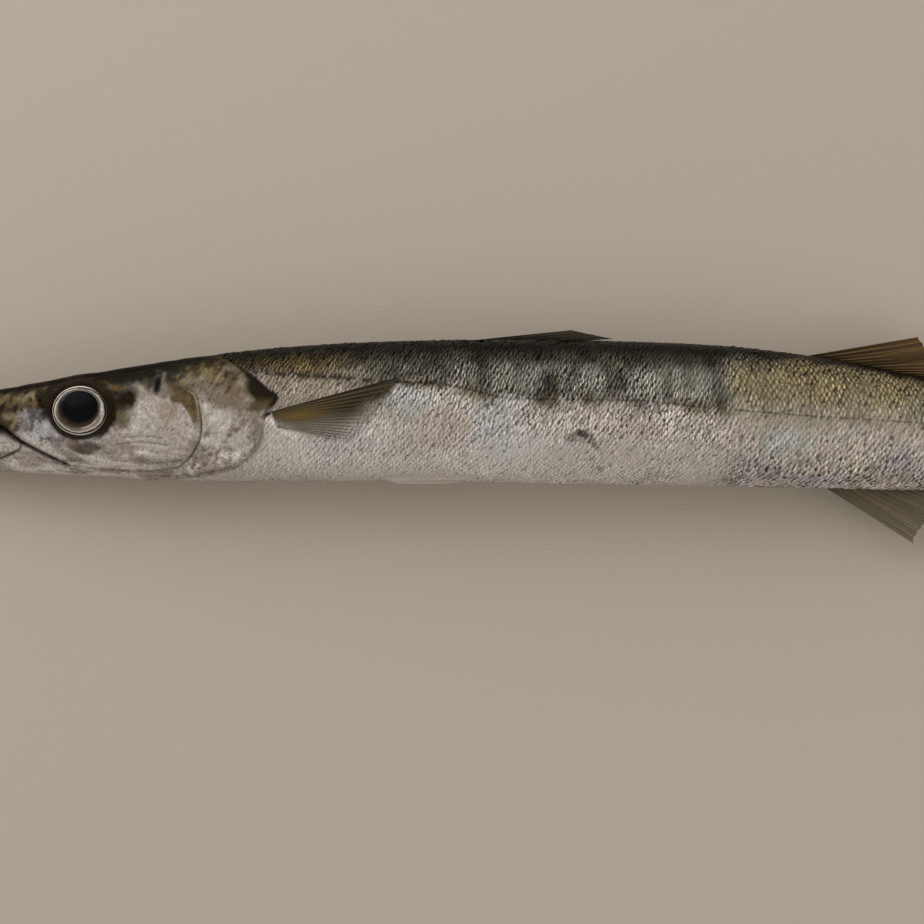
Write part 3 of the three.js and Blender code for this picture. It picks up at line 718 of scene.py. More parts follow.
def make_mesh(name, points, faces, material, colours=None):
    """A smooth-shaded object from points in mm and faces, with a colour for each point if wanted."""
    mesh = bpy.data.meshes.new(name)
    faces = faces.tolist() if isinstance(faces, np.ndarray) else faces
    mesh.from_pydata((np.asarray(points) * MM).tolist(), [], faces)
    if colours is not None:
        if colours.shape[1] == 3:
            colours = np.hstack([colours, np.ones((len(colours), 1))])
        attribute = mesh.color_attributes.new("tone", "FLOAT_COLOR", "POINT")
        attribute.data.foreach_set("color", colours.astype(np.float32).ravel())
    mesh.polygons.foreach_set("use_smooth", np.ones(len(mesh.polygons), bool))
    mesh.materials.append(material)
    mesh.update()
    made = bpy.data.objects.new(name, mesh)
    bpy.context.scene.collection.objects.link(made)
    return made


def grid_faces(rows, columns, first=0, closed=False, flip=False):
    """The quads of a grid of points stored row by row, each row joined into a loop if closed."""
    i, j = np.meshgrid(np.arange(rows - 1), np.arange(columns if closed else columns - 1), indexing="ij")
    k = (j + 1) % columns
    here, beyond = i * columns, (i + 1) * columns
    quads = np.stack([here + j, here + k, beyond + k, beyond + j], axis=-1).reshape(-1, 4) + first
    return quads[:, ::-1] if flip else quads


def node(tree, kind, inputs=None, **settings):
    """A shader node with its settings; an input is a number, a colour or another node's socket."""
    made = tree.nodes.new(kind)
    for key, value in settings.items():
        setattr(made, key, value)
    for name, value in (inputs or {}).items():
        if isinstance(value, bpy.types.NodeSocket):
            tree.links.new(value, made.inputs[name])
        else:
            made.inputs[name].default_value = value
    return made


def new_material(name, **constants):
    """A Principled material with some of its sockets set, its tree and its shader."""
    material = bpy.data.materials.new(name)
    material.use_nodes = True
    shader = material.node_tree.nodes["Principled BSDF"]
    for key, value in constants.items():
        shader.inputs[key.replace("_", " ")].default_value = value
    return material, material.node_tree, shader


def noise_texture(tree, size, detail=2, turn=0, stretch=1):
    """A noise with lumps of a size in mm, on Object coordinates, drawn out along a direction in degrees."""
    place = node(tree, "ShaderNodeTexCoord").outputs["Object"]
    if stretch != 1:
        angle = (0, 0, np.radians(-turn))
        place = node(tree, "ShaderNodeMapping", {"Vector": place, "Rotation": angle}).outputs["Vector"]
        pressed = (1 / stretch, 1, 1)
        place = node(tree, "ShaderNodeMapping", {"Vector": place, "Scale": pressed}).outputs["Vector"]
    return node(tree, "ShaderNodeTexNoise", {"Vector": place, "Scale": 1 / (size * MM), "Detail": detail})


def toned(tree, spread, size, turn=0, stretch=1):
    """The colour attribute made lighter and darker in grains of a size in mm, drawn out if wanted."""
    tone = node(tree, "ShaderNodeAttribute", attribute_name="tone").outputs["Color"]
    grain = noise_texture(tree, size, 3, turn, stretch).outputs["Fac"]
    scale = node(tree, "ShaderNodeMapRange", {
        "Value": grain, "From Min": 0.25, "From Max": 0.75, "To Min": 1 - spread, "To Max": 1 + spread,
    }).outputs["Result"]
    return node(tree, "ShaderNodeVectorMath", {0: tone, "Scale": scale}, operation="SCALE").outputs["Vector"]


def skin_material():
    """Wet bare fish skin: silver pigment under slime, pitted by fine pores and wrinkled by a soft grain."""
    material, tree, shader = new_material(
        "wet_head_skin", Metallic=0.05, Coat_Weight=0.015, Coat_Roughness=0.2, Specular_IOR_Level=0.03,
    )
    tree.links.new(toned(tree, 0.42, 0.8, turn=50, stretch=2.2), shader.inputs["Base Color"])
    pores = noise_texture(tree, 0.8, 3).outputs["Fac"]
    wrinkles = noise_texture(tree, 2.6, 2).outputs["Fac"]
    height = node(tree, "ShaderNodeMath", {0: pores, 1: wrinkles}, operation="ADD").outputs["Value"]
    bump = node(tree, "ShaderNodeBump", {"Height": height, "Strength": 0.55, "Distance": 0.25 * MM})
    tree.links.new(bump.outputs["Normal"], shader.inputs["Normal"])
    gloss = node(tree, "ShaderNodeMapRange", {"Value": pores, "To Min": 0.3, "To Max": 0.52})
    tree.links.new(gloss.outputs["Result"], shader.inputs["Roughness"])
    return material


def scale_material():
    """Thin silver scales: guanine plates under clear horn, with a fine grain that breaks up the glints."""
    material, tree, shader = new_material(
        "silver_scales", Metallic=0.1, Coat_Weight=0.02, Coat_Roughness=0.2, Specular_IOR_Level=0.06,
    )
    tree.links.new(toned(tree, 0.16, 0.7), shader.inputs["Base Color"])
    grain = noise_texture(tree, 0.5, 2).outputs["Fac"]
    bump = node(tree, "ShaderNodeBump", {"Height": grain, "Strength": 0.3, "Distance": 0.1 * MM})
    tree.links.new(bump.outputs["Normal"], shader.inputs["Normal"])
    gloss = node(tree, "ShaderNodeMapRange", {"Value": grain, "To Min": 0.26, "To Max": 0.44})
    tree.links.new(gloss.outputs["Result"], shader.inputs["Roughness"])
    return material


def fin_material():
    """Wet fin membrane over horny rays: thin enough to pass some light, with a fine grain across."""
    material, tree, shader = new_material(
        "fin_membrane", Coat_Weight=0.05, Coat_Roughness=0.2, Specular_IOR_Level=0.1, Roughness=0.45,
        Subsurface_Weight=0.15, Subsurface_Scale=0.6 * MM,
    )
    tree.links.new(toned(tree, 0.2, 0.7), shader.inputs["Base Color"])
    tone = node(tree, "ShaderNodeAttribute", attribute_name="tone")
    tree.links.new(tone.outputs["Alpha"], shader.inputs["Alpha"])
    grain = noise_texture(tree, 0.6, 2).outputs["Fac"]
    bump = node(tree, "ShaderNodeBump", {"Height": grain, "Strength": 0.35, "Distance": 0.12 * MM})
    tree.links.new(bump.outputs["Normal"], shader.inputs["Normal"])
    return material


def eye_material(name, **constants):
    """The eye behind its clear wet cornea: a smooth sharp coat over the iris's or the pupil's colour."""
    material, tree, shader = new_material(name, Coat_Roughness=0.05, **constants)
    tree.links.new(toned(tree, 0.1, 0.5), shader.inputs["Base Color"])
    return material


# The skin: fine rings of points on the head, coarser ones on the trunk, in one mesh.

HEAD_STEP = 0.62
HEAD_AROUND = 270
TRUNK_STEP = 2.6
TRUNK_AROUND = 90
SKIN_JOINT_X = -121.0

# Under the scales the skin lies this much lower, and it is painted darker, as shade in the gaps between the
# scales.
SCALE_BED = -0.12
BED_PAINTED_SHADE = 0.55

# The least height of the skin and of the scales above the floor.
SKIN_FLOOR_GAP = 0.02
SCALE_FLOOR_GAP = 0.03


def skin_rings(xs, around):
    """Rings of displaced points for a list of x, with their colours."""
    angles = 2 * np.pi * np.arange(around) / around
    x, angle = np.meshgrid(xs, angles, indexing="ij")
    points, normal, _ = body_frame(x, angle)
    behind = behind_gills(x, points[..., 1])
    trunk = smooth(0.5, -0.5, -behind) * smooth(-190, -160, x)
    relief = np.where(x < SKIN_JOINT_X + 1, head_relief(x, points[..., 1], points), 0)
    relief = mix(relief, SCALE_BED + np.minimum(relief, 0), trunk)
    # The skin under the scales is painted darker, as shade in the gaps between them.
    bed_shade = (trunk * smooth(3, 9, behind))[..., None]
    colours = markings(points) * (1 - BED_PAINTED_SHADE * bed_shade)
    points = points + relief[..., None] * normal
    points[..., 2] = np.maximum(points[..., 2], SKIN_FLOOR_GAP)
    return points, colours


def make_skin(material):
    """The skin's rings joined by quads, with a fan where the fine rings meet the coarse, and two end caps."""
    head_xs = np.arange(JAW_TIP_X + 0.05, SKIN_JOINT_X, HEAD_STEP)
    trunk_xs = np.append(np.arange(SKIN_JOINT_X + 0.8, TAIL_BASE_X - 0.4, TRUNK_STEP), TAIL_BASE_X)
    head, head_colours = skin_rings(head_xs, HEAD_AROUND)
    trunk, trunk_colours = skin_rings(trunk_xs, TRUNK_AROUND)
    points = np.vstack([head.reshape(-1, 3), trunk.reshape(-1, 3)])
    colours = np.vstack([head_colours.reshape(-1, 3), trunk_colours.reshape(-1, 3)])
    first = len(head_xs) * HEAD_AROUND
    faces = grid_faces(len(head_xs), HEAD_AROUND, closed=True).tolist()
    faces += grid_faces(len(trunk_xs), TRUNK_AROUND, first=first, closed=True).tolist()
    ratio = HEAD_AROUND // TRUNK_AROUND
    for j in range(TRUNK_AROUND):
        edge = [first - HEAD_AROUND + (j * ratio + k) % HEAD_AROUND for k in range(ratio + 1)]
        faces.append(edge + [first + (j + 1) % TRUNK_AROUND, first + j])
    faces.append(list(range(HEAD_AROUND))[::-1])
    faces.append(list(range(len(points) - TRUNK_AROUND, len(points))))
    skin = make_mesh("skin", points, faces, material, colours)
    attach(skin, "root")
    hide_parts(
        "head", "lower_jaw", "gill_cover_left", "gill_cover_right",
        "body_front", "body_middle", "body_rear", "tail_stem",
    )


# The scales: thin plates in rows along the body, each overlapping the next towards the tail.

SCALE_LENGTH = 2.5
ROW_WIDTH = 1.5

# Above the lateral line the scales are shorter and wider by these factors.
UPPER_LENGTH = 0.9
UPPER_ROW_WIDTH = 1.25

# A scale's reach along the body and its lift, each at its root and at its free edge.
SCALE_REACH = (-1.5, 1.5)
SCALE_LIFT = (0.0, 0.36)
SCALE_HALF_WIDTH = 1.55
SCALE_COLUMNS = np.linspace(-1, 1, 7)
SCALE_ROWS = np.array([0.15, 0.42, 0.58, 0.72, 0.86, 1])
# How far the painted glint strokes on the scales lean forward with each step down a scale.
STROKE_LEAN = 0.13

# The first scales stand here at the height of the back, and further forward the lower they grow. They
# start a little way under the gill cover's edge.
SCALES_START_X = -152.0
SCALES_START_Y = 30
UNDER_GILLS = 0.7

# How far a scale's root strays along the body in mm, and round it in radians.
STRAY = 0.27
STRAY_TURN = 0.009

# The coat of scales is cut here into pieces that each keep under the limit of triangles.
COAT_CUTS = [-400, -104, -66, -28, 10, 50, 96, 160, 400]

# A scale's size on the bake map, and how much of the map the coat fills.
BAKE_PATCH = 0.003
BAKE_SPREAD = 0.99


def scale_size_at(x):
    """How large the scales are: fullest towards the tail, smaller behind the head and down the tail stem."""
    front = mix(0.8, 0.88, smooth(-152, -100, x))
    return mix(front, 1.05, smooth(50, 95, x)) * mix(1, 0.6, smooth(180, 258, x))


def scale_roots():
    """Where each scale grows: its x, angle and row, in rows laid off down and up from the lateral line."""
    found = []
    for way, length, width in ((1, 1, 1), (-1, UPPER_LENGTH, UPPER_ROW_WIDTH)):
        x = HEAD_END_X - 22.0
        rank = 0
        while x < TAIL_BASE_X - 1.5:
            size = scale_size_at(x)
            angles, lengths = arc_table(x)
            start = np.interp(flank_angle(x, lateral_at(x)), angles, lengths)
            step = ROW_WIDTH * width * size
            for row in range(rank % 2, 100, 2):
                place = start + way * row * step
                if 0.4 * step < place < lengths[-1] - 0.4 * step and (way > 0 or row > 0):
                    angle = np.interp(place, lengths, angles)
                    found += [(x, angle, way * row), (x, -angle, way * row)]
            x += SCALE_LENGTH / 2 * length * size
            rank += 1
    return np.array(found)


def scale_shades(u, down, astray, upper, rear, on_back):
    """How light each vertex of each scale is: strokes that lean forward as they run down the flank.

    On the silver a bright stroke between dark gaps, on the back pale strokes on a dark ground, and
    towards the tail pale rounded plates in a dark net, strongest near the back. The bright strokes are
    painted glints; the dark gaps and the net are painted shade between overlapping scales, partly the scales'
    own darker tone.
    """
    leant = u + STROKE_LEAN * down + astray
    short = bell(down, 0.95)
    # Painted shade where a scale comes out from under the one before it, and at its free edge.
    overlap_shade = 1 - smooth(0.44, 0.62, leant)
    edge = smooth(0.86, 0.98, leant)
    silver = 0.75 * bell(leant - 0.73, 0.12) * short - 0.5 * overlap_shade - 0.5 * edge * short
    # On the back: pale painted glint strokes on a darkened ground.
    glints_on_dark = 3.3 * bell(leant - 0.76, 0.1) * short - 0.7
    # Towards the tail: pale plates in a dark net, painted shade between the scales over their own darker tone
    # near the back.
    plate = bell(u - 0.7, 0.2) * bell(down, 0.75)
    golden = 1.05 * plate - mix(0.6, 1.1, on_back) * (1 - plate)
    return silver * (1 - upper) + glints_on_dark * upper * (1 - rear) + golden * upper * rear


def strayed_roots(draw):
    """The scales with a little stray: x, angle and row, then the place, the normal and the way round."""
    roots = scale_roots()
    x = roots[:, 0] + draw.normal(0, STRAY, len(roots))
    angle = roots[:, 1] + draw.normal(0, STRAY_TURN, len(roots))
    place, normal, around = body_frame(x, angle)
    y = place[:, 1]
    keep = (behind_gills(x, y) > -UNDER_GILLS) & (x > SCALES_START_X - 0.5 * (SCALES_START_Y - y))
    return (part[keep] for part in (x, angle, roots[:, 2], place, normal, around))


def scale_depth(place, above, upper, rear):
    """How strongly the scales show, least on the belly, behind the gills and beside the lateral line."""
    x, y = place[:, 0], place[:, 1]
    flat = smooth(-7, -19, y) * mix(0.55, 0.0, rear)
    flat = np.maximum(flat, 0.6 * smooth(-15, -60, x) * smooth(8, 0, y) * (1 - upper))
    flat = np.maximum(flat, 0.33 * rear * bell(above + 4, 8))
    flat = np.maximum(flat, 0.35 * upper * smooth(30, 50, x) * (1 - rear))
    depth = np.clip(1 - flat + 0.3 * noise(place, 15, 31), 0.15, 1.3)
    return depth + 0.25 * rear * smooth(-15, -22, y)


def scale_points(u, v, down, long, wide, size, tilt, roll, on_line):
    """A scale in its own frame: forward, sideways and up, raised in the middle on the lateral line.

    The free edge is rounded by 0.8·v², and the plate curves down to its sides.
    """
    reach = mix(SCALE_REACH[0], SCALE_REACH[1] - 0.8 * v ** 2 - 0.3 * down, u)
    width = SCALE_HALF_WIDTH * v * (0.8 + 0.2 * np.sin(np.pi * u / 2))
    lift = mix(SCALE_LIFT[0], SCALE_LIFT[1], u) - 0.14 * v ** 2 * (0.4 + 0.6 * u)
    forward = long * reach
    sideways = wide * width
    up = size * lift + tilt * forward + roll * sideways
    return forward, sideways, up + on_line * 0.16 * bell(v, 0.5)


def bake_map(x, angle, u, v):
    """A small patch of the bake map for each scale, at its root's place on the unrolled skin."""
    along = BAKE_SPREAD * (x - JAW_TIP_X) / (TAIL_BASE_X - JAW_TIP_X) + BAKE_PATCH * (u - 0.5)
    around = BAKE_SPREAD * ((angle / (2 * np.pi)) % 1) + BAKE_PATCH * v / 2
    return np.stack([along, around], axis=-1)


def make_scales(material):
    draw = np.random.default_rng(SEED)
    x, angle, row, place, normal, around = strayed_roots(draw)
    count = len(x)
    along = np.cross(around, normal)
    along *= np.sign(along[:, :1])
    size = scale_size_at(x) * draw.normal(1, 0.07, count)
    long = size * np.where(row < 0, UPPER_LENGTH, 1)
    wide = size * np.where(row < 0, UPPER_ROW_WIDTH, 1)
    rear = smooth(*GOLDEN_SCALES_X, x)
    above = place[:, 1] - lateral_at(x)
    upper = smooth(-2, 5, above)
    on_back = smooth(14, 5, back_at(x) - place[:, 1])
    depth = scale_depth(place, above, upper, rear)
    patchy = noise(brushed(place, 65, 2), 4, 32) * mix(1, 0.4, rear * upper)
    tone = np.clip(1 + depth * (0.14 * draw.normal(0, 1, count) + 0.16 * patchy), 0.5, 1.6)
    # How strongly each scale shows its painted glints and painted shade.
    glint_and_shade_gain = np.clip(1 + 0.4 * draw.normal(0, 1, count), 0.2, mix(1.5, 2.1, upper))
    astray = 0.05 * draw.normal(0, 1, count)
    tilt = 0.05 * depth * draw.normal(0, 1, count)
    roll = 0.07 * depth * draw.normal(0, 1, count)

    # From here each array has a line for each scale and a column for each vertex of a scale.
    u, v = np.meshgrid(SCALE_ROWS, SCALE_COLUMNS, indexing="ij")
    u, v = u.ravel(), v.ravel()
    down = v * np.sign(angle)[:, None]
    each = (part[:, None] for part in (long, wide, size, tilt, roll, row == 0))
    forward, sideways, up = scale_points(u, v, down, *each)
    points = (
        place[:, None] + along[:, None] * forward[..., None]
        + around[:, None] * sideways[..., None] + normal[:, None] * up[..., None]
    )
    points[..., 2] = np.maximum(points[..., 2], SCALE_FLOOR_GAP)
    # Each vertex: its markings times the painted glints and painted shade between the scales, and the scale's
    # own tone.
    shade = scale_shades(u, down, *(part[:, None] for part in (astray, upper, rear, on_back)))
    shade = np.maximum(1 + shade * (depth * glint_and_shade_gain)[:, None], 0.12) * tone[:, None]
    colours = markings(points) * shade[..., None]
    bake = bake_map(x[:, None], angle[:, None], u, v)

    quads = grid_faces(len(SCALE_ROWS), len(SCALE_COLUMNS))
    for number, (low, high) in enumerate(zip(COAT_CUTS, COAT_CUTS[1:]), 1):
        chosen = np.flatnonzero((x >= low) & (x < high))
        faces = (quads + len(u) * np.arange(len(chosen))[:, None, None]).reshape(-1, 4)
        coat = make_mesh(
            f"scales_{number}", points[chosen].reshape(-1, 3), faces, material,
            colours[chosen].reshape(-1, 3),
        )
        corners = bake[chosen].reshape(-1, 2)[faces.ravel()]
        layer = coat.data.uv_layers.new(name="OFBake")
        layer.data.foreach_set("uv", corners.astype(np.float32).ravel())
        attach(coat, "root")


# The eyes.

EYE_DEEP = 5.5
EYE_PROUD = 3.2
EYE_LEAN = 6
PUPIL_PROUD = 0.3
SIDES = {"left": 1, "right": -1}

# The lens's rings, closest together on the iris, as parts of its radius, and the points of each ring.
LENS_RINGS = np.append(np.linspace(0, 0.6, 9), np.linspace(0.61, 1, 56))
LENS_AROUND = 96


def eye_colours(x, y):
    """Iris and rings by how far a point is from the eye's middle, with painted light that makes the iris
    brightest at the rear upper side and a painted reflection crescent by the pupil.
    """
    ring = eye_ring(x, y)
    pupil = np.hypot((x - PUPIL["x"]) / PUPIL["across"], (y - PUPIL["y"]) / PUPIL["along"])
    way = np.arctan2(y - EYE["y"], x - EYE["x"])
    streak = 0.5 + 0.5 * np.sin(way * 61 + 3 * np.sin(way * 7))
    # Painted light: the iris is lit brightest towards the rear upper side.
    light = 0.5 + 0.5 * np.cos(way - np.radians(20))
    colour = np.zeros(x.shape + (3,))
    paint = painter(colour)
    low = smooth(0.1, -0.6, (y - EYE["y"]) / EYE["along"])
    paint("#5e5343", np.ones(x.shape))
    wavy = ring + 0.012 * np.sin(5 * way + 1) + 0.006 * np.sin(17 * way)
    paint("#e4dccd", bell(wavy - 0.79, 0.07) * mix(0.15, 1, light) * (1 - 0.7 * low))
    paint("#e2dac9", bell(wavy - 0.855, 0.032) * mix(0.95, 0.75, low))
    paint("#4a3e2f", streak * 0.25)
    paint("#1b140c", bell(wavy - 0.915, 0.026) * 0.97)
    paint("#efe8da", smooth(0.938, 0.953, ring) * smooth(1.0, 0.985, ring))
    paint("#1d170f", smooth(0.985, 1.0, ring))
    paint("#33231a", smooth(1.42, 1.22, pupil) * low * 0.9)
    # A painted reflection: a pale crescent just outside the pupil, below and behind it.
    paint("#cfc6b4", bell(ring - 0.72, 0.025) * smooth(0.7, 0.3, np.abs(way + 0.9)) * 0.8)
    paint("#17130f", bell(pupil - 1.06, 0.07) * 0.9)
    paint("#0c0e0e", smooth(1.04, 0.98, pupil))
    return colour


def make_eye(side, iris, pupil):
    """The iris as a leaning lens, and the pupil as a flatter one that stands a little proud of it."""
    up = SIDES[side]
    middle_z = height_at(EYE["x"]) + up * (half_thickness(EYE["x"], EYE["y"]) + EYE_PROUD - EYE_DEEP)
    ways = 2 * np.pi * np.arange(LENS_AROUND) / LENS_AROUND
    radius, way = np.meshgrid(LENS_RINGS, ways, indexing="ij")
    lean = np.radians(-up * EYE_LEAN)

    def lens(across, along, deep, x, y):
        """Points of a leaning half lens: z = deep·sqrt(1 - r²)."""
        local_x, local_y = across * radius * np.cos(way), along * radius * np.sin(way)
        local_z = up * deep * np.sqrt(np.maximum(1 - radius ** 2, 0))
        return np.stack([
            x + local_x * np.cos(lean) + local_z * np.sin(lean),
            y + local_y,
            middle_z - local_x * np.sin(lean) + local_z * np.cos(lean),
        ], axis=-1)

    ball = lens(EYE["across"], EYE["along"], EYE_DEEP, EYE["x"], EYE["y"])
    faces = grid_faces(len(LENS_RINGS), LENS_AROUND, closed=True, flip=up < 0)
    colours = eye_colours(ball[..., 0], ball[..., 1])
    eye = make_mesh(f"eye_{side}_iris", ball.reshape(-1, 3), faces, iris, colours.reshape(-1, 3))
    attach(eye, "root")
    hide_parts(f"eye_{side}")
    black = lens(PUPIL["across"], PUPIL["along"], 0, PUPIL["x"], PUPIL["y"])
    ball_height = EYE_DEEP * np.sqrt(1 - eye_ring(black[..., 0], black[..., 1]) ** 2)
    black[..., 2] += up * (ball_height + PUPIL_PROUD * np.sqrt(1 - radius ** 2))
    tint = np.broadcast_to(linear("#0b0d0d"), black.shape).reshape(-1, 3)
    disc = make_mesh(f"eye_{side}_pupil", black.reshape(-1, 3), faces, pupil, tint)
    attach(disc, "root")
    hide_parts(f"pupil_{side}")


# The fins: a thin membrane between rays, which stand as ridges on both faces and fork towards the tips.

def make_fin(name, place, colour, material, rays, columns_per_ray=8, steps=40, membrane=(0.5, 0.3),
             ray=(1.0, 0.5), facing=None, fork=0.45):
    """A closed thin blade: place(u, v) is its middle, u from first ray to last and v from root to tip.

    Membrane and ray are thicknesses at the root and at the tip, and fork is where a ray starts to part.
    """
    columns = (rays - 1) * columns_per_ray + 1
    u, v = np.meshgrid(np.linspace(0, 1, columns), np.linspace(0, 1, steps), indexing="ij")
    middle = place(u, v)
    way = facing(u, v) if facing else np.broadcast_to([0.0, 0.0, 1.0], middle.shape)
    phase = u * (rays - 1)
    whole = np.abs(np.cos(np.pi * phase)) ** 3
    forked = np.abs(np.cos(2 * np.pi * phase)) ** 2
    ridge = mix(whole, forked, smooth(fork, fork + 0.3, v))
    half = mix(mix(*membrane, v), mix(*ray, v), ridge) / 2
    points = np.concatenate([middle + way * half[..., None], middle - way * half[..., None]])
    faces = np.concatenate([
        grid_faces(columns, steps),
        grid_faces(columns, steps, first=columns * steps, flip=True),
    ]).tolist()
    rim = [i * steps for i in range(columns)] + [(columns - 1) * steps + j for j in range(1, steps)]
    rim += [i * steps + steps - 1 for i in range(columns - 2, -1, -1)] + list(range(steps - 2, 0, -1))
    for a, b in zip(rim, rim[1:] + rim[:1]):
        faces.append([b, a, a + columns * steps, b + columns * steps])
    colours = np.tile(colour(u, v, ridge).reshape(-1, 4), (2, 1))
    fin = make_mesh(name + "_rays", points.reshape(-1, 3), faces, material, colours)
    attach(fin, "root")
    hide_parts(name)


def fin_colour(root, tip, ray, alpha=(1.0, 0.9), uneven=0.15):
    """A fin's colour from root to tip, its rays' own tone, how solid it is and how uneven its tone."""
    def at(u, v, ridge):
        shade = mix(linear(root), linear(tip), v[..., None] ** 1.5)
        shade = mix(shade, linear(ray), (ridge * 0.75 * smooth(0, 0.3, v))[..., None])
        shade = shade * (1 + uneven * np.sin(43 * u + 4 * np.sin(9 * u) + 2 * v))[..., None]
        solid = mix(mix(*alpha, v), 1, ridge)
        return np.concatenate([shade, solid[..., None]], axis=-1)
    return at


# How deep a fin's root is sunk into the flesh.
ROOT_SINK = 2.0


def median_place(start, end, way, lean, length, droop):
    """A fin in the middle plane, on the back (way 1) or the belly (way -1), leaning back and drooping."""
    edge_at = back_at if way > 0 else belly_at

    def place(u, v):
        x = mix(start, end, u)
        slope = np.arctan2(edge_at(x + 1) - edge_at(x - 1), 2)
        turn = slope + way * np.radians(mix(*lean, u))
        reach = length(u) * v * (1 - 0.012 * v * np.abs(np.sin(np.pi * u * 9))) - ROOT_SINK * (1 - v)
        return np.stack([
            x + np.cos(turn) * reach,
            edge_at(x) - way * 0.6 + np.sin(turn) * reach,
            height_at(x) - droop * np.maximum(reach, 0) ** 2 / 1000,
        ], axis=-1)
    return place


# Angles in degrees and lengths of the shortest and the longest ray.
TAIL_FIN = {
    "root": 254.5, "turn": -3, "inner": 2.5, "outer": 26, "short": 32, "long": 97, "height": 8.6, "sink": 4,
}


def tail_place(way):
    """One lobe of the forked tail fin, a fan of rays that come down to the floor."""
    middle, deep = side_middle(TAIL_FIN["root"])

    def place(u, v):
        turn = np.radians(TAIL_FIN["turn"] + way * mix(TAIL_FIN["inner"], TAIL_FIN["outer"], u))
        reach = mix(TAIL_FIN["short"], TAIL_FIN["long"], u ** 1.7) * v - TAIL_FIN["sink"] * (1 - v)
        fall = (TAIL_FIN["height"] - 0.6) * smooth(-20, 88, reach)
        return np.stack([
            TAIL_FIN["root"] + np.cos(turn) * reach,
            middle + way * mix(0.5, deep - 1.2, u) + np.sin(turn) * reach,
            height_at(TAIL_FIN["root"]) - fall,
        ], axis=-1)
    return place


PECTORAL = {
    "root": (-128.7, 0.4), "root_end": (-125.5, -6), "top": 15, "bottom": -12, "long": 60, "short": 33,
}


def pectoral_place(up):
    """The pectoral fin, laid back along the flank, or between the flank and the floor."""
    def place(u, v):
        turn = np.radians(mix(PECTORAL["top"], PECTORAL["bottom"], u))
        ragged = 1 - 0.012 * v * np.abs(np.sin(np.pi * u * 13))
        reach = mix(PECTORAL["long"], PECTORAL["short"], u ** 0.8) * ragged * v - ROOT_SINK * (1 - v)
        x = mix(PECTORAL["root"][0], PECTORAL["root_end"][0], u) + np.cos(turn) * reach
        y = mix(PECTORAL["root"][1], PECTORAL["root_end"][1], u) + np.sin(turn) * reach
        sunk = -1.8 * (1 - smooth(0, 0.16, v))
        flank = height_at(x) + up * (half_thickness(x, y) + 1.05 + 0.7 * v + sunk)
        on_floor = mix(flank, 0.4, smooth(0.02, 0.14, v))
        return np.stack([x, y, flank if up > 0 else np.maximum(on_floor, 0.6)], axis=-1)
    return place


PELVIC = {"x": -82, "spread": (9.5, 4), "long": 44, "short": 26, "lie": 1.0}


def pelvic_place(up):
    """The pelvic fin, folded back flat against the belly on one side of its keel."""
    def on_belly(u, v):
        reach = mix(PELVIC["long"], PELVIC["short"], u) * v - ROOT_SINK * (1 - v)
        x = PELVIC["x"] + mix(0, 5, u) + reach
        out = mix(*PELVIC["spread"], u) + mix(2.5, -1, u) * v
        n = squareness_at(x)
        half = half_at(x)
        middle, deep = side_middle(x)
        rise = (1 - (out / half) ** n) ** (1 / n)
        normal_y, normal_z = -rise ** (n - 1) / deep, up * (out / half) ** (n - 1) / half
        outward = np.stack([np.zeros(x.shape), normal_y, normal_z], axis=-1)
        outward /= np.linalg.norm(outward, axis=-1, keepdims=True)
        return np.stack([x, middle - deep * rise, height_at(x) + up * out], axis=-1), outward

    def place(u, v):
        point, outward = on_belly(u, v)
        lie = mix(0.3, PELVIC["lie"], smooth(0, 0.3, u))
        return point + outward * (lie - 2.2 * (1 - smooth(0, 0.2, v)))[..., None]

    def facing(u, v):
        return on_belly(u, v)[1]
    return place, facing


def pectoral_colour(u, v, ridge):
    """Dark in front with a yellow-brown spot at the base; dark rays on a clear pale web further down."""
    hex_texts = ("#1e180c", "#4d422b", "#6b551f", "#a89e90", "#3a3020")
    dark, olive, yellow, web, ray = (linear(hex_text) for hex_text in hex_texts)
    low = smooth(0.3, 0.75, u)[..., None]
    shade = mix(mix(dark, web, low), mix(olive, ray, low), ridge[..., None])
    spot = bell(u - 0.42, 0.24) * bell(v - 0.28, 0.22) * (1 - 0.5 * ridge)
    shade = mix(shade, yellow, spot[..., None])
    shade = mix(shade, dark * 0.6, ((1 - smooth(0, 0.07, u)) * 0.85)[..., None])
    thin_out = smooth(0, 0.3, u)
    clear = mix(0.97, 0.12, smooth(0.3, 0.7, u)) * mix(1, 0.1, smooth(0.55, 0.95, v) * thin_out)
    solid = mix(clear, mix(1, 0.3, smooth(0.6, 0.98, v) * thin_out), ridge ** 2)
    return np.concatenate([shade, solid[..., None]], axis=-1)


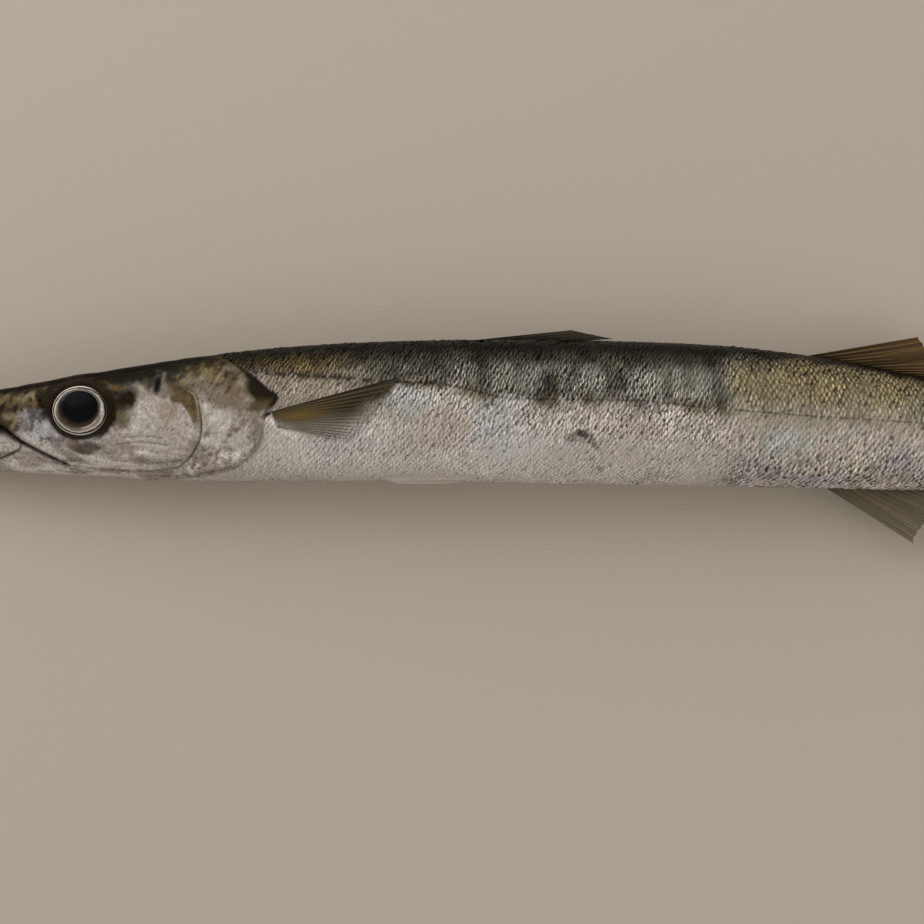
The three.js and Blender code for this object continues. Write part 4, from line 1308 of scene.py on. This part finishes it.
def make_fins(material):
    make_fin(
        "dorsal_fin_first",
        median_place(start=-46, end=2, way=1, lean=(5.5, 5), length=lambda u: mix(52, 22, u), droop=1.2),
        fin_colour("#211d16", "#3a3427", "#1a1711"), material,
        rays=5, columns_per_ray=14, ray=(1.8, 0.7), fork=2,
    )
    make_fin(
        "dorsal_fin_second",
        median_place(
            start=109, end=160, way=1, lean=(17.5, 9),
            length=lambda u: mix(55, 18, u) + 6 * smooth(0.8, 1, u), droop=1.5,
        ),
        fin_colour("#18130a", "#4d341e", "#66512f", alpha=(1, 0.85), uneven=0.4), material, rays=12,
    )
    make_fin(
        "anal_fin",
        median_place(
            start=119, end=165, way=-1, lean=(30, 14),
            length=lambda u: mix(50, 16, u ** 0.8) + 6 * smooth(0.8, 1, u), droop=2.2,
        ),
        fin_colour("#5e5542", "#7b7160", "#4a4130", alpha=(1, 0.7)), material, rays=12,
    )
    for side, way in (("upper", 1), ("lower", -1)):
        make_fin(
            f"tail_fin_{side}", tail_place(way),
            fin_colour("#4a4330", "#2e291e", "#37301f", alpha=(1, 0.85)), material,
            rays=12, steps=60, membrane=(2.2, 0.35), ray=(3.0, 0.6),
        )
    for side, up in SIDES.items():
        make_fin(
            f"pectoral_fin_{side}", pectoral_place(up), pectoral_colour, material,
            rays=16, steps=48, membrane=(0.6, 0.25), ray=(0.9, 0.42), fork=0.75,
        )
        place, facing = pelvic_place(up)
        make_fin(
            f"pelvic_fin_{side}", place, fin_colour("#aca49b", "#a89f94", "#b5ada2", alpha=(1, 0.85)),
            material, rays=7, facing=facing,
        )


# The floor, the lights and the camera.

# The camera looks straight down, at a view this wide at the fish's middle height.
MIDDLE_HEIGHT = 24.0
CAMERA_DISTANCE = 700.0
CAMERA_AIM = (-44.1, -21.2)
VIEW_WIDTH = 415.8
SENSOR_WIDTH = 36

FLOOR_COLOUR = "#b2a798"
FLOOR_HALF_SIZE = 4000
FLOOR_DROP = 0.05


def make_stage():
    material, _, shader = new_material("pale_floor", Roughness=0.75)
    shader.inputs["Base Color"].default_value = (*linear(FLOOR_COLOUR), 1)
    signs = ((-1, -1), (1, -1), (1, 1), (-1, 1))
    corners = [(x * FLOOR_HALF_SIZE, y * FLOOR_HALF_SIZE, -FLOOR_DROP) for x, y in signs]
    floor = make_mesh("floor", corners, [(0, 1, 2, 3)], material)


def add_area_light(name, place, aim, size, power):
    """A square light of a size in mm and a power in watts, turned from its place to its aim."""
    light = bpy.data.lights.new(name, "AREA")
    light.size = size * MM
    light.energy = power
    lamp = bpy.data.objects.new(name, light)
    bpy.context.scene.collection.objects.link(lamp)
    place = np.array(place) * MM
    way = np.array(aim) * MM - place
    lamp.location = place
    lamp.rotation_euler = Vector(way).to_track_quat("-Z", "Y").to_euler()


def make_world():
    """Soft warm light from all sides, a little stronger from low down."""
    world = bpy.data.worlds.new("studio")
    world.use_nodes = True
    tree = world.node_tree
    background = tree.nodes["Background"]
    background.inputs["Color"].default_value = (1.0, 0.97, 0.93, 1)
    height = node(tree, "ShaderNodeSeparateXYZ", {
        "Vector": node(tree, "ShaderNodeTexCoord").outputs["Generated"],
    }).outputs["Z"]
    strength = node(tree, "ShaderNodeMapRange", {
        "Value": height, "From Min": 0.1, "From Max": 0.9, "To Min": 0.72, "To Max": 0.5,
    })
    tree.links.new(strength.outputs["Result"], background.inputs["Strength"])
    bpy.context.scene.world = world


def make_camera():
    camera = bpy.data.cameras.new("camera")
    camera.sensor_width = SENSOR_WIDTH
    camera.lens = camera.sensor_width * CAMERA_DISTANCE / VIEW_WIDTH
    camera.clip_start = 0.01
    eye = bpy.data.objects.new("camera", camera)
    eye.location = (CAMERA_AIM[0] * MM, CAMERA_AIM[1] * MM, (MIDDLE_HEIGHT + CAMERA_DISTANCE) * MM)
    bpy.context.scene.collection.objects.link(eye)
    bpy.context.scene.camera = eye
    bpy.context.scene.view_settings.view_transform = "Standard"


make_skin(skin_material())
make_scales(scale_material())
iris_material = eye_material("iris", Metallic=0.1, Roughness=0.3, Specular_IOR_Level=0.12, Coat_Weight=0.06)
pupil_material = eye_material("pupil", Roughness=0.25, Specular_IOR_Level=0.02, Coat_Weight=0.02)
for side in SIDES:
    make_eye(side, iris_material, pupil_material)
make_fins(fin_material())
make_stage()
make_world()
add_area_light("window", place=(-1000, 1200, 1150), aim=(-40, 0, 0), size=1800, power=23)
add_area_light("fill", place=(1300, -900, 900), aim=(0, 0, 0), size=1500, power=6)
make_camera()
